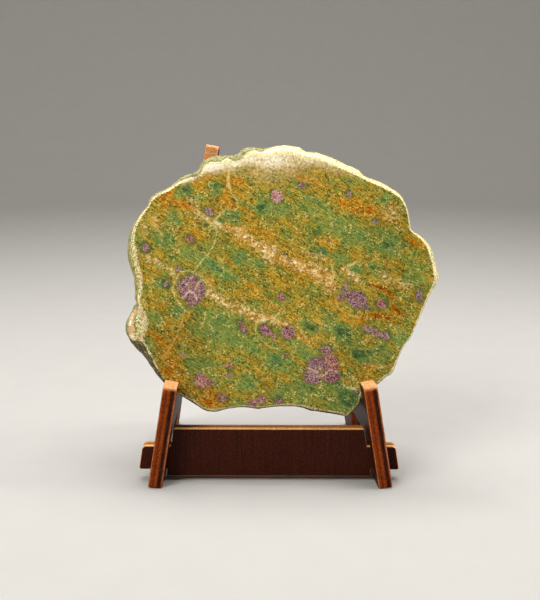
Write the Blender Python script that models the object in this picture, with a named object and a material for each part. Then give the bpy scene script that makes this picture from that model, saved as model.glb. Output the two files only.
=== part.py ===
"""A polished slab of ruby in zoisite, resting on a knock-down plywood easel.

Units are metres, +Z is up, X runs across the slab and +Y points to the back. The easel is drawn
around the middle of its feet, with Y = 0 at the front of the legs and the tabletop at Z = 0.
Everything hangs from one empty, which carries the origin to the bottom centre of the whole object.
"""

import math

import bmesh
import bpy
import numpy as np
from mathutils import Matrix, Vector, noise

MM = 0.001

# --- The stone -------------------------------------------------------------------------------
SLAB_THICKNESS = 12.4 * MM
SLAB_LEAN = math.radians(11.8)  # how far the polished face leans back from upright
FACE_FOOT_Y = 1.64 * MM  # where the plane of the face would meet the tabletop
SLAB_CENTRE_Z = 65.85 * MM  # height of the outline's own origin, on the face
SEAT_GAP = 0.3 * MM  # between the slab and what it rests on

# The outline seen square to the face, clockwise from the left-most point: across, up, and how far
# the rounded rim reaches in from there to the flat polish, in mm.
SLAB_OUTLINE = [
    (-52.0, 18.5, 4.5), (-51.0, 23.5, 3.0), (-49.5, 28.0, 2.5), (-47.0, 31.5, 1.5), (-44.0, 35.0, 1.5),
    (-42.5, 37.5, 1.5), (-37.5, 40.5, 1.5), (-33.5, 43.5, 2.0), (-29.5, 46.0, 2.5), (-26.5, 47.0, 3.0),
    (-24.5, 50.0, 2.5), (-22.5, 52.0, 3.0), (-19.0, 52.5, 3.5), (-12.5, 53.5, 4.0), (-9.5, 55.0, 4.5),
    (-6.5, 55.5, 4.5), (-1.0, 55.5, 4.5), (4.0, 56.5, 4.5), (9.0, 56.0, 4.5), (13.0, 54.5, 4.0),
    (17.5, 53.5, 3.5), (22.5, 52.0, 3.5), (28.0, 49.5, 3.5), (31.5, 48.0, 3.0), (35.0, 45.5, 2.0),
    (43.5, 41.5, 2.5), (46.5, 39.5, 2.0), (49.0, 36.5, 1.5), (50.5, 32.0, 1.0), (51.0, 27.5, 1.0),
    (52.0, 25.5, 1.0), (55.0, 23.5, 1.5), (58.0, 20.5, 2.0), (60.0, 16.0, 2.5), (61.5, 9.0, 2.5),
    (61.0, 6.0, 2.0), (58.0, 0.5, 1.5), (53.5, -9.0, 1.0), (49.5, -16.5, 1.0), (47.0, -21.0, 1.0),
    (45.0, -26.5, 2.0), (42.5, -28.0, 1.5), (40.0, -30.5, 1.0), (38.5, -32.0, 1.0), (36.0, -34.3, 1.0),
    (34.0, -34.5, 1.0), (32.5, -36.0, 1.0), (32.3, -37.5, 1.0), (31.0, -40.0, 1.5), (28.5, -42.5, 1.5),
    (26.0, -42.0, 1.5), (19.5, -40.5, 1.0), (11.5, -39.0, 1.0), (5.5, -38.5, 1.0), (-4.0, -39.5, 1.0),
    (-8.0, -39.0, 1.0), (-14.5, -39.5, 1.0), (-20.0, -41.0, 1.5), (-24.0, -40.0, 1.5), (-28.0, -37.5, 1.0),
    (-32.3, -34.8, 1.0), (-35.0, -34.3, 1.0), (-38.5, -30.5, 2.0), (-41.5, -26.5, 2.5), (-45.5, -20.5, 4.0),
    (-49.0, -17.0, 5.0), (-50.5, -14.0, 6.0), (-51.0, -11.0, 7.0), (-50.0, -4.5, 5.5), (-49.0, -0.5, 3.5),
    (-49.0, 3.5, 3.5), (-49.5, 8.0, 4.0), (-51.0, 13.5, 4.5),
]
OUTLINE_STEPS = 3  # samples from one outline point to the next
NORMAL_REACH = 2  # samples to each side that set the direction across the rim
EDGE_DEPTH = 5.5 * MM  # from the face back to the slab's widest section
EDGE_TURNS = [math.radians(a) for a in (0, 30, 60, 90)]  # stations round the polished rim
# The unpolished side wall behind the widest section: depth behind the face and inset.
RIND_SECTION = [(8.2 * MM, 0.3 * MM), (10.8 * MM, 0.9 * MM), (SLAB_THICKNESS, 2.4 * MM)]
RIND_LUMP = 0.9 * MM  # deepest hollow in the rind
RIND_LUMP_SIZE = 5.0 * MM

# --- The easel -------------------------------------------------------------------------------
PLY = 5.0 * MM
ARRIS = 0.25 * MM  # the small chamfer sanded on every cut edge
PLATE_LEAN = math.radians(9.6)  # each side plate leans in at the top
FOOT_HALF_SPAN = 38.5 * MM  # from the middle to a plate's inner bottom corner
FOOT_WEAR = 0.35 * MM  # how much of that corner is worn flat on the table
TOE_IN = {"left": math.radians(-1.0), "right": math.radians(5.5)}  # twist in the loose mortise

PRONG_TOP = 38.0 * MM
SHELF_FRONT = 32.0 * MM
UPRIGHT_TOP = {"left": 121.2 * MM, "right": 114.5 * MM}  # the right one stays behind the stone
UPRIGHT_DEPTH = 11.0 * MM
TWIST_ROOM = 0.5 * MM  # extra room in the slab's notch, because the plates stand a little askew
LEG_BACK = 19.5 * MM
LEG_TAPER = 1.5 * MM  # how much narrower the front leg is at the sole
ARCH_TOP = 16.5 * MM
ARCH_BACK = 45.0 * MM
REAR_FOOT = (57.0 * MM, 70.0 * MM)
REAR_HEEL = 3.5 * MM  # height of the upright stretch behind the rear foot
KNEE = (37.5 * MM, 60.0 * MM)

BOARD_FRONT = 7.5 * MM
BOARD_TOP = 19.8 * MM
BOARD_BOTTOM = 1.7 * MM
BOARD_HALF_WIDTH = 34.5 * MM  # at its top corner; the shoulders follow the plates' lean
TAB_TOP = 13.2 * MM
TAB_BOTTOM = 4.3 * MM
TAB_REACH = 46.0 * MM  # half the length over the tabs, at their top
TAB_CORNER = 1.5 * MM
JOINT_GAP = 0.3 * MM
MORTISE_PLAY = 0.4 * MM  # what the mortise is wider than the tab in front and behind

ARC_STEP = math.radians(18)  # the longest turn that one straight stretch of a fillet makes
CUT_OVERRUN = 6.0 * MM
TABLE_REACH = 100.0 * MM  # how far the cutter that levels the soles reaches


def collection_of(name):
    """A new collection under the scene's own."""
    made = bpy.data.collections.new(name)
    bpy.context.scene.collection.children.link(made)
    return made


def material(name, colour, roughness):
    """A Principled material with one linear colour."""
    made = bpy.data.materials.new(name)
    made.use_nodes = True
    shader = made.node_tree.nodes["Principled BSDF"]
    shader.inputs["Base Color"].default_value = (*colour, 1.0)
    shader.inputs["Roughness"].default_value = roughness
    shader.inputs["Metallic"].default_value = 0.0
    return made


def closed_spline(points, steps):
    """A closed Catmull-Rom curve through the points, with this many samples to a span."""
    here = np.array(points, float)[:, None]
    before, after, later = (np.roll(here, shift, axis=0) for shift in (1, -1, -2))
    t = np.linspace(0, 1, steps, endpoint=False)[None, :, None]
    spans = 0.5 * (
        2 * here
        + (after - before) * t
        + (2 * before - 5 * here + 4 * after - later) * t**2
        + (3 * here - before - 3 * after + later) * t**3
    )
    return spans.reshape(-1, here.shape[-1])


def inward_normals(outline):
    """Unit vectors pointing into a clockwise outline, smoothed over a few samples."""
    tangent = np.roll(outline, -NORMAL_REACH, axis=0) - np.roll(outline, NORMAL_REACH, axis=0)
    tangent /= np.linalg.norm(tangent, axis=1, keepdims=True)
    return np.column_stack([tangent[:, 1], -tangent[:, 0]])


def rind_hollows(outline, depth):
    """How far the lumpy rind dips in at each point of the outline, at this depth."""
    heights = [
        noise.noise(Vector((across, depth, up)) / RIND_LUMP_SIZE) for across, up in outline
    ]
    return RIND_LUMP * (0.5 + 0.5 * np.array(heights))


def slab_sections():
    """The slab's closed sections from the face to the back, each as points (across, depth, up)."""
    samples = closed_spline(SLAB_OUTLINE, OUTLINE_STEPS) * MM
    outline, rim = samples[:, :2], samples[:, 2:]
    inward = inward_normals(outline)
    sections = []
    for turn in EDGE_TURNS:
        flat = outline + inward * rim * (1 - math.sin(turn))
        sections.append((flat, EDGE_DEPTH * (1 - math.cos(turn))))
    for depth, inset in RIND_SECTION:
        hollow = rind_hollows(outline, depth) if depth < SLAB_THICKNESS else 0 * rim[:, 0]
        sections.append((outline + inward * (inset + hollow[:, None]), depth))
    return [np.insert(flat, 1, depth, axis=1) for flat, depth in sections]


def ruby_zoisite_slab(parts, finish):
    """The stone: a loft from the flat polished face over the rounded rim and rind to a flat back."""
    mesh = bpy.data.meshes.new("ruby_zoisite_slab")
    shape = bmesh.new()
    rings = [[shape.verts.new(point) for point in section] for section in slab_sections()]
    for near, far in zip(rings, rings[1:]):
        for i in range(len(near)):
            shape.faces.new((near[i - 1], near[i], far[i], far[i - 1]))
    shape.faces.new(rings[0])
    shape.faces.new(rings[-1])
    bmesh.ops.recalc_face_normals(shape, faces=shape.faces)
    shape.to_mesh(mesh)
    shape.free()
    mesh.shade_smooth()
    mesh.set_sharp_from_angle(angle=math.radians(40))
    slab = bpy.data.objects.new("ruby_zoisite_slab", mesh)
    slab.location = (0, face_y(SLAB_CENTRE_Z), SLAB_CENTRE_Z)
    slab.rotation_euler = (-SLAB_LEAN, 0, 0)
    mesh.materials.append(finish)
    parts.objects.link(slab)
    return slab


def face_y(height):
    """How far back the plane of the polished face stands at this height."""
    return FACE_FOOT_Y + height * math.tan(SLAB_LEAN)


def fillet(before, corner, after, radius):
    """The points of the arc that rounds one corner of an outline, or the corner itself."""
    to_before = (before - corner).normalized()
    to_after = (after - corner).normalized()
    half = to_before.angle(to_after) / 2
    if radius == 0 or half > math.radians(89):
        return [corner]
    centre = corner + (to_before + to_after).normalized() * radius / math.sin(half)
    start = corner + to_before * radius / math.tan(half) - centre
    turn = start.angle_signed(corner + to_after * radius / math.tan(half) - centre)
    steps = max(2, math.ceil(abs(turn) / ARC_STEP))
    return [centre + Matrix.Rotation(-turn * i / steps, 2) @ start for i in range(steps + 1)]


def rounded_outline(corners):
    """The outline's points, from corners given as (u, v, fillet radius)."""
    places = [Vector((u, v)) for u, v, _ in corners]
    count = len(corners)
    points = []
    for i, (_, _, radius) in enumerate(corners):
        points += fillet(places[i - 1], places[i], places[(i + 1) % count], radius)
    return points


def board(name, corners, parts, finish, matrix):
    """A flat piece of plywood with chamfered edges: the outline lies in its own XY plane."""
    curve = bpy.data.curves.new(name, "CURVE")
    curve.dimensions = "2D"
    curve.fill_mode = "BOTH"
    curve.extrude = PLY / 2 - ARRIS
    curve.bevel_depth = ARRIS
    curve.bevel_resolution = 0
    curve.offset = -ARRIS
    points = rounded_outline(corners)
    spline = curve.splines.new("POLY")
    spline.points.add(len(points) - 1)
    for target, point in zip(spline.points, points):
        target.co = (*point, 0, 1)
    spline.use_cyclic_u = True
    drawn = bpy.data.objects.new(name + "_outline", curve)
    parts.objects.link(drawn)
    graph = bpy.context.evaluated_depsgraph_get()
    mesh = bpy.data.meshes.new_from_object(drawn.evaluated_get(graph))
    bpy.data.objects.remove(drawn)
    bpy.data.curves.remove(curve)
    shape = bmesh.new()
    shape.from_mesh(mesh)
    bmesh.ops.remove_doubles(shape, verts=shape.verts, dist=0.002 * MM)
    bmesh.ops.recalc_face_normals(shape, faces=shape.faces)
    shape.to_mesh(mesh)
    shape.free()
    mesh.materials.clear()
    mesh.materials.append(finish)
    piece = bpy.data.objects.new(name, mesh)
    piece.matrix_world = matrix
    parts.objects.link(piece)
    return piece


def cutter(name, low, high, cutters, matrix):
    """A hidden box from one corner to the other, in the frame that the matrix gives."""
    mesh = bpy.data.meshes.new(name)
    shape = bmesh.new()
    bmesh.ops.create_cube(shape, size=1)
    low, high = Vector(low), Vector(high)
    bmesh.ops.scale(shape, vec=high - low, verts=shape.verts)
    bmesh.ops.translate(shape, vec=(low + high) / 2, verts=shape.verts)
    shape.to_mesh(mesh)
    shape.free()
    box = bpy.data.objects.new(name, mesh)
    box.matrix_world = matrix
    box.hide_render = True
    box.display_type = "WIRE"
    cutters.objects.link(box)
    return box


def subtract(piece, box):
    """Cuts the box out of the piece."""
    cut = piece.modifiers.new(box.name, "BOOLEAN")
    cut.operation = "DIFFERENCE"
    cut.solver = "EXACT"
    cut.object = box


def plate_corners(upright_top):
    """A side plate's outline: (back, up the plate, fillet), anticlockwise from the front foot."""
    rise = math.cos(PLATE_LEAN)
    # The plates lean sideways, so their two faces meet the slab at different heights.
    sideways = PLY * math.sin(PLATE_LEAN) * math.tan(SLAB_LEAN)
    seat = (SLAB_THICKNESS + SEAT_GAP) / math.cos(SLAB_LEAN) + sideways

    def prong_back(up):
        return face_y(up * rise) - SEAT_GAP / math.cos(SLAB_LEAN) - TWIST_ROOM

    def upright_front(up):
        return face_y(up * rise) + seat

    notch = upright_front(SHELF_FRONT) - prong_back(SHELF_FRONT)
    shelf_back = SHELF_FRONT - notch * math.tan(SLAB_LEAN) / rise
    top_back = upright_top - UPRIGHT_DEPTH * math.tan(SLAB_LEAN) / rise
    sole = -FOOT_WEAR
    corners = [
        (0, sole, 0.6 * MM),
        (LEG_BACK - LEG_TAPER, sole, 1.0 * MM),
        (LEG_BACK, ARCH_TOP, 5.0 * MM),
        (ARCH_BACK, ARCH_TOP, 7.0 * MM),
        (REAR_FOOT[0], sole, 1.0 * MM),
        (REAR_FOOT[1], sole, 1.0 * MM),
        (REAR_FOOT[1], REAR_HEEL, 1.5 * MM),
        (KNEE[0], KNEE[1], 45.0 * MM),
        (upright_front(upright_top) + UPRIGHT_DEPTH, top_back, 2.0 * MM),
        (upright_front(upright_top), upright_top, 1.5 * MM),
        (upright_front(shelf_back), shelf_back, 0.6 * MM),
        (prong_back(SHELF_FRONT), SHELF_FRONT, 0.6 * MM),
        (prong_back(PRONG_TOP), PRONG_TOP, 1.2 * MM),
        (0, PRONG_TOP, 2.2 * MM),
    ]
    return corners


def side_plate(side, parts, cutters, finish):
    """One side plate: prong, slab seat and upright over two feet, with a mortise for the tab."""
    sign = {"left": -1, "right": 1}[side]
    # The outline's own axes become Y and up, and its third axis X.
    upright = Matrix.Rotation(math.pi / 2, 4, "Z") @ Matrix.Rotation(math.pi / 2, 4, "X")
    lean = Matrix.Rotation(-sign * PLATE_LEAN, 4, "Y")
    pivot = Matrix.Translation((0, BOARD_FRONT + PLY / 2, 0))
    twist = pivot @ Matrix.Rotation(sign * TOE_IN[side], 4, "Z") @ pivot.inverted()
    foot = Matrix.Translation((sign * FOOT_HALF_SPAN, 0, 0))
    inner_face = foot @ lean @ twist @ upright
    plate = board(
        side + "_side_plate", plate_corners(UPRIGHT_TOP[side]), parts, finish,
        inner_face @ Matrix.Translation((0, 0, sign * PLY / 2)),
    )
    crossing = PLY * math.sin(PLATE_LEAN)
    play = JOINT_GAP + MORTISE_PLAY
    foot_of_hole = (TAB_BOTTOM - crossing) / math.cos(PLATE_LEAN) - JOINT_GAP
    top_of_hole = TAB_TOP / math.cos(PLATE_LEAN) + JOINT_GAP
    mortise = cutter(
        side + "_mortise",
        (BOARD_FRONT - play, foot_of_hole, -PLY - CUT_OVERRUN),
        (BOARD_FRONT + PLY + play, top_of_hole, PLY + CUT_OVERRUN),
        cutters, inner_face,
    )
    subtract(plate, mortise)
    tabletop = cutter(
        side + "_wear", (-TABLE_REACH, -TABLE_REACH, -CUT_OVERRUN), (TABLE_REACH, TABLE_REACH, 0),
        cutters, Matrix(),
    )
    subtract(plate, tabletop)
    return plate


def cross_bar(parts, finish):
    """The board that joins the plates: its shoulders and tab ends follow their lean."""
    slope = math.tan(PLATE_LEAN)

    def shoulder(height):
        return BOARD_HALF_WIDTH + (BOARD_TOP - height) * slope

    def tab_end(height):
        return TAB_REACH + (TAB_TOP - height) * slope

    right = [
        (shoulder(BOARD_BOTTOM), BOARD_BOTTOM, 0),
        (shoulder(TAB_BOTTOM), TAB_BOTTOM, 0),
        (tab_end(TAB_BOTTOM), TAB_BOTTOM, 0.8 * MM),
        (tab_end(TAB_TOP), TAB_TOP, TAB_CORNER),
        (shoulder(TAB_TOP), TAB_TOP, 0),
        (shoulder(BOARD_TOP), BOARD_TOP, 0.8 * MM),
    ]
    left = [(-across, up, radius) for across, up, radius in reversed(right)]
    standing = Matrix.Translation((0, BOARD_FRONT + PLY / 2, 0)) @ Matrix.Rotation(math.pi / 2, 4, "X")
    return board("cross_bar", right + left, parts, finish, standing)


def carry_to_origin(pieces):
    """Hangs the pieces from one empty and sets it so that the bottom centre is the origin."""
    bpy.context.view_layer.update()
    graph = bpy.context.evaluated_depsgraph_get()
    points = []
    for piece in pieces:
        shown = piece.evaluated_get(graph)
        points += [shown.matrix_world @ vertex.co for vertex in shown.to_mesh().vertices]
        shown.to_mesh_clear()
    low, high = np.min(points, axis=0), np.max(points, axis=0)
    middle = (low + high) / 2
    carrier = bpy.data.objects.new("easel_centre", None)
    bpy.context.scene.collection.objects.link(carrier)
    carrier.location = (-middle[0], -middle[1], -low[2])
    return carrier


def main():
    for old in list(bpy.data.objects):
        bpy.data.objects.remove(old, do_unlink=True)
    parts = collection_of("ruby_in_zoisite")
    cutters = collection_of("cutters")
    zoisite = material("zoisite", (0.24, 0.22, 0.07), 0.25)
    plywood = material("stained_plywood", (0.20, 0.07, 0.02), 0.5)
    pieces = [
        ruby_zoisite_slab(parts, zoisite),
        side_plate("left", parts, cutters, plywood),
        side_plate("right", parts, cutters, plywood),
        cross_bar(parts, plywood),
    ]
    carrier = carry_to_origin(pieces)
    for piece in pieces + list(cutters.objects):
        piece.parent = carrier


main()
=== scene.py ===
"""Ruby in zoisite on a knock-down plywood easel: the dressed model, its stage, light and camera.

Names that end in _MM or _mm, and every place or size in the stone's and the boards' classes, are
millimetres. They become metres where they reach a mesh or the camera. The stone's marks are placed in its own
axes: across the polished face, up the face, and deep behind it, from the face's middle.
"""

import itertools
import logging
import math
from dataclasses import dataclass
from enum import Enum

import bmesh
import bpy
import numpy as np
from bpy.types import Material, Mesh, Node, NodeSocket, NodeTree, Object
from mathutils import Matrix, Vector


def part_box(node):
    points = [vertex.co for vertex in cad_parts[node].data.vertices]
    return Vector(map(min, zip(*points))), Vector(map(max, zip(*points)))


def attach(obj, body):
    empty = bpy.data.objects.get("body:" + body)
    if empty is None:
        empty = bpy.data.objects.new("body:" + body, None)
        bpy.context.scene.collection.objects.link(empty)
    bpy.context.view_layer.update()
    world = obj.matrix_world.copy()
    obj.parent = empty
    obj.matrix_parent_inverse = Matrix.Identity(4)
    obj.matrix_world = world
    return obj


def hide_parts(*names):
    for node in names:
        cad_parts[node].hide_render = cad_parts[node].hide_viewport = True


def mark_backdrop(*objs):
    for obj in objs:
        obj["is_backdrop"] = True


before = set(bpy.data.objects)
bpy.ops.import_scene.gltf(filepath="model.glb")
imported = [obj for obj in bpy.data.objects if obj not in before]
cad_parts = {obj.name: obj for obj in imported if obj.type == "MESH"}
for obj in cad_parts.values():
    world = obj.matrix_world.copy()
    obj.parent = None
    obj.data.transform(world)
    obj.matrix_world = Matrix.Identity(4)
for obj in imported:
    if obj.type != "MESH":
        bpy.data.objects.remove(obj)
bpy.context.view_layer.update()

log = logging.getLogger("ruby_in_zoisite")

MM = 0.001
Points = tuple[tuple[float, float], ...]
Ramp = tuple[tuple[float, str], ...]  # places on a colour ramp, each with its colour
Reading = Node | NodeSocket | float


# --- Small tools -----------------------------------------------------------------------------


def linear(hex_colour: str) -> tuple[float, float, float, float]:
    """Turns an sRGB hex colour into the linear one that a shader takes.

    Each channel c becomes c / 12.92 below 0.04045, and ((c + 0.055) / 1.055) ** 2.4 above it.

    Args:
        hex_colour: the colour as "#rrggbb".

    Returns:
        Red, green, blue and an alpha of 1.
    """
    channels = [int(hex_colour[i : i + 2], 16) / 255 for i in (1, 3, 5)]
    red, green, blue = (c / 12.92 if c <= 0.04045 else ((c + 0.055) / 1.055) ** 2.4 for c in channels)
    return red, green, blue, 1.0


def add(tree: NodeTree, kind: str, inputs: dict | None = None, **settings) -> Node:
    """Adds one shader node with its settings and links.

    Args:
        tree: the tree that gets the node.
        kind: the node's type name without its "ShaderNode".
        inputs: for each input, by name or number, a value, a hex colour, or the node or socket that feeds it.
            A name means the first input in use that has it, and a node means its first output in use.
        settings: properties of the node itself; ramp is a list of (place, hex colour) for a colour ramp.

    Returns:
        The new node.
    """
    node = tree.nodes.new("ShaderNode" + kind)
    ramp = settings.pop("ramp", None)
    for name, value in settings.items():
        setattr(node, name, value)
    for key, value in (inputs or {}).items():
        named = (s for s in node.inputs if s.enabled and s.name == key)
        socket = node.inputs[key] if isinstance(key, int) else next(named)
        if isinstance(value, Node):
            value = next(s for s in value.outputs if s.enabled)
        if isinstance(value, NodeSocket):
            tree.links.new(value, socket)
        else:
            socket.default_value = linear(value) if isinstance(value, str) else value
    if ramp:
        elements = node.color_ramp.elements
        while len(elements) < len(ramp):
            elements.new(0.5)
        for element, (stop, colour) in zip(elements, ramp):
            element.position = stop
            element.color = linear(colour)
    return node


def total(tree: NodeTree, start: Reading, *parts: tuple[Reading, Reading]) -> Node:
    """Adds up readings: the start, and each reading times its share.

    Args:
        tree: the tree that gets the nodes.
        start: the number or reading to begin with.
        parts: pairs of a reading and its share.

    Returns:
        The sum.
    """
    for reading, share in parts:
        start = add(tree, "Math", {0: reading, 1: share, 2: start}, operation="MULTIPLY_ADD")
    return start


def lay(tree: NodeTree, base: Reading | str, tone: Reading | str, reading: Reading, start: float,
        whole: float, share: float = 1.0, only: Reading | None = None) -> Node:
    """Lays a tone over a colour, from nothing where a reading is at start to its share where it is at whole.

    Args:
        tree: the tree that gets the nodes.
        base: the colour below.
        tone: the colour laid on.
        reading: what decides where the tone goes.
        start: the reading at which it begins to show.
        whole: the reading from which it has its full share, which may be the lower of the two.
        share: how much of the base it hides there.
        only: from 0 to 1, thins the tone further.

    Returns:
        The colour.
    """
    cover = add(tree, "MapRange", {"Value": reading, "From Min": start, "From Max": whole, "To Max": share})
    if only is not None:
        cover = add(tree, "Math", {0: cover, 1: only}, operation="MULTIPLY")
    return add(tree, "Mix", {"Factor": cover, "A": base, "B": tone}, data_type="RGBA")


def cells(tree: NodeTree, places: Reading, size: float, sway: Node | None = None,
          bend: float = 0.0, edges: bool = False) -> Node:
    """Splits the stone into cells, which may have bent borders.

    Args:
        tree: the tree that gets the nodes.
        places: places in mm.
        size: a cell's width in mm.
        sway: the noise that bends the borders.
        bend: how far it bends them, in mm.
        edges: asks for the distance from the borders.

    Returns:
        The distance, or else three random values for each cell.
    """
    if sway:
        places = add(tree, "VectorMath", {0: sway.outputs["Color"], 1: (bend,) * 3, 2: places},
                     operation="MULTIPLY_ADD")
    split = {"Vector": places, "Scale": 1 / size}
    if edges:
        return add(tree, "TexVoronoi", split, feature="DISTANCE_TO_EDGE")
    return add(tree, "SeparateColor", {"Color": add(tree, "TexVoronoi", split).outputs["Color"]})


def new_material(name: str) -> tuple[Material, NodeTree, Node]:
    """Starts a material.

    Args:
        name: the material's name.

    Returns:
        The material, its node tree and its Principled shader.
    """
    material = bpy.data.materials.new(name)
    material.use_nodes = True
    return material, material.node_tree, material.node_tree.nodes["Principled BSDF"]


def hashed(cell: np.ndarray, seed: int) -> np.ndarray:
    """A repeatable value from 0 to 1 for each cell of a lattice.

    Args:
        cell: whole numbers, shape (..., 3).
        seed: picks one of many unlike patterns.

    Returns:
        One value for each cell.
    """
    mixed = cell[..., 0] * 73856093 ^ cell[..., 1] * 19349663 ^ cell[..., 2] * 83492791 ^ seed * 9973
    mixed = ((mixed ^ (mixed >> 13)) & 0xFFFFFFF) * 1274126177
    return ((mixed ^ (mixed >> 16)) & 0xFFFF) / 0xFFFF


def noise(points: np.ndarray, size: float, seed: int, octaves: int = 1) -> np.ndarray:
    """Smooth noise from about -1 to 1.

    Each octave blends the eight hashed corners round a point with weights t * t * (3 - 2 * t), and is half
    the size and half the strength of the one before.

    Args:
        points: places, shape (n, 3).
        size: the width of the largest features, in the units of the points.
        seed: picks one of many unlike patterns.
        octaves: how many sizes are summed.

    Returns:
        One value for each point.
    """
    summed = np.zeros(len(points))
    for octave in range(octaves):
        scaled = points * 2**octave / size
        cell = np.floor(scaled).astype(np.int64)
        t = scaled - cell
        t = t * t * (3 - 2 * t)
        for corner in itertools.product((0, 1), repeat=3):
            weight = np.where(np.array(corner) == 1, t, 1 - t).prod(axis=1)
            summed += weight * (2 * hashed(cell + corner, seed + octave) - 1) / 2**octave
    return summed


def smooth_step(value: np.ndarray | float, low: float, high: float) -> np.ndarray:
    """Rises from 0 at low to 1 at high as t * t * (3 - 2 * t)."""
    t = np.clip((value - low) / (high - low), 0, 1)
    return t * t * (3 - 2 * t)


def closed_spline(points: np.ndarray, steps: int) -> np.ndarray:
    """A closed Catmull-Rom curve through the points.

    A span from p1 to p2, with neighbours p0 and p3, is
    0.5 * (2 p1 + (p2 - p0) t + (2 p0 - 5 p1 + 4 p2 - p3) t^2 + (3 p1 - p0 - 3 p2 + p3) t^3).

    Args:
        points: the points in order, shape (n, k).
        steps: samples to a span.

    Returns:
        Samples, shape (n * steps, k).
    """
    here = points[:, None]
    before, after, later = (np.roll(here, shift, axis=0) for shift in (1, -1, -2))
    t = np.linspace(0, 1, steps, endpoint=False)[None, :, None]
    spans = 0.5 * (
        2 * here
        + (after - before) * t
        + (2 * before - 5 * here + 4 * after - later) * t**2
        + (3 * here - before - 3 * after + later) * t**3
    )
    return spans.reshape(-1, points.shape[1])


def distance_to_line(places: np.ndarray, line: Points) -> np.ndarray:
    """How far each place is from a broken line.

    For each segment from a to b the nearest point is a + t (b - a), with t = (p - a) . (b - a) / |b - a|^2
    kept from 0 to 1.

    Args:
        places: shape (n, 2).
        line: the line's corners.

    Returns:
        The distance to the nearest segment.
    """
    nearest = np.full(len(places), np.inf)
    for start, end in zip(line, line[1:]):
        start, run = np.array(start), np.subtract(end, start)
        t = np.clip((places - start) @ run / (run @ run), 0, 1)
        nearest = np.minimum(nearest, np.linalg.norm(places - start - t[:, None] * run, axis=1))
    return nearest


def inside_outline(places: np.ndarray, corners: Points) -> np.ndarray:
    """Whether each place is inside a closed outline: a ray to the right crosses it an odd number of times."""
    inside = np.zeros(len(places), bool)
    for (x0, y0), (x1, y1) in zip(corners, corners[1:] + corners[:1]):
        between = (places[:, 1] < y0) != (places[:, 1] < y1)
        crossing = x0 + (places[:, 1] - y0) * (x1 - x0) / (y1 - y0 if y1 != y0 else 1)
        inside ^= between & (places[:, 0] < crossing)
    return inside


def turned(places: np.ndarray, across: float, up: float, degrees: float) -> np.ndarray:
    """Places in the axes of a mark that stands at (across, up), turned anticlockwise by so many degrees."""
    cosine, sine = math.cos(math.radians(degrees)), math.sin(math.radians(degrees))
    x, y = places[:, 0] - across, places[:, 1] - up
    return np.column_stack([x * cosine + y * sine, y * cosine - x * sine])


def set_attribute(mesh: Mesh, name: str, values: np.ndarray) -> None:
    """Stores one value, vector or colour for each vertex.

    Args:
        mesh: the mesh.
        name: the attribute's name, which a material reads.
        values: shape (n,) for numbers, (n, 3) for vectors or (n, 4) for colours.
    """
    kind, field = {1: ("FLOAT", "value"), 3: ("FLOAT_VECTOR", "vector"), 4: ("FLOAT_COLOR", "color")}[
        values.shape[1] if values.ndim == 2 else 1
    ]
    attribute = mesh.attributes.new(name, kind, "POINT")
    attribute.data.foreach_set(field, np.ascontiguousarray(values, np.float32).ravel())


def place(name: str, mesh: Mesh, material: Material, node: str) -> Object:
    """Puts a finished mesh in the scene as a piece that stands for a node of the frame.

    Args:
        name: the piece's name.
        mesh: its mesh, in the frame's own place.
        material: its finish.
        node: the node that it stands for.

    Returns:
        The piece.
    """
    mesh.materials.clear()
    mesh.materials.append(material)
    piece = bpy.data.objects.new(name, mesh)
    bpy.context.scene.collection.objects.link(piece)
    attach(piece, "root")
    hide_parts(node)
    log.info("%s: %d faces", name, len(mesh.polygons))
    return piece


# --- The stone's marks -----------------------------------------------------------------------


class Tint(Enum):
    """The colours of the ruby grains: opaque corundum, clouded from wine red to grey by its inclusions."""

    PINK = "#cc9084"
    ROSE = "#9e5e54"
    ORCHID = "#965a68"
    LILAC = "#946d6c"
    MAUVE = "#7f585e"
    WINE = "#7a404c"
    GREY = "#7c6664"
    SMOKE = "#5f5350"


@dataclass(frozen=True)
class Ruby:
    """One ruby grain: an ellipsoid, or a prism on given corners, where the sawn faces cut it.

    Its halo is the dark green hornblende that grew round it, from 0 for none to 1.
    """

    across: float
    up: float
    length: float
    width: float
    turn: float
    tint: Tint
    halo: float = 0.5
    depth: float = 0.0
    corners: Points = ()

    def distance(self, stone: np.ndarray) -> np.ndarray:
        """How far outside the grain each place is, less than 0 inside it.

        An ellipsoid with half-axes r takes |q/r| (|q/r| - 1) / |q/r^2|, which is near the true distance.

        Args:
            stone: places (across, up, deep).

        Returns:
            Distances in mm.
        """
        deep = stone[:, 2] - self.depth
        reach = 0.65 * max(self.length, self.width)
        if self.corners:
            outside = distance_to_line(stone[:, :2], self.corners + self.corners[:1])
            flat = np.where(inside_outline(stone[:, :2], self.corners), -outside, outside)
            return flat + 0.5 * self.width * (deep / reach) ** 2
        local = np.column_stack([turned(stone[:, :2], self.across, self.up, self.turn), deep])
        halves = np.array([self.length / 2, self.width / 2, reach])
        scaled = np.linalg.norm(local / halves, axis=1)
        return scaled * (scaled - 1) / np.maximum(np.linalg.norm(local / halves**2, axis=1), 1e-6)


class Mineral(Enum):
    """What a patch or a band is. The value is how far it moves the groundmass on its ramp from green to rust.

    A shade moves it by next to nothing, and darkens it instead.
    """

    GREEN = -0.25
    DARK = -0.42
    OCHRE = 0.15
    RUST = 0.4
    PALE = 0.05
    # Painted reflection of the overhead light on the face under the top rim, laid on as a pale haze.
    BLEACH = 0.001
    SHADE = 0.002


@dataclass(frozen=True)
class Patch:
    """A patch of one mineral: strength * exp(-q^2), with q the squared distance in units of its ellipse."""

    across: float
    up: float
    length: float
    width: float
    turn: float = -30.0
    strength: float = 0.9

    def weight(self, stone: np.ndarray) -> np.ndarray:
        """How much of the mineral the patch puts at each place, 0 to 1."""
        local = turned(stone[:, :2], self.across, self.up, self.turn)
        q = ((local / np.array([self.length / 2, self.width / 2])) ** 2).sum(axis=1)
        return self.strength * np.exp(-q * q)


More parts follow.
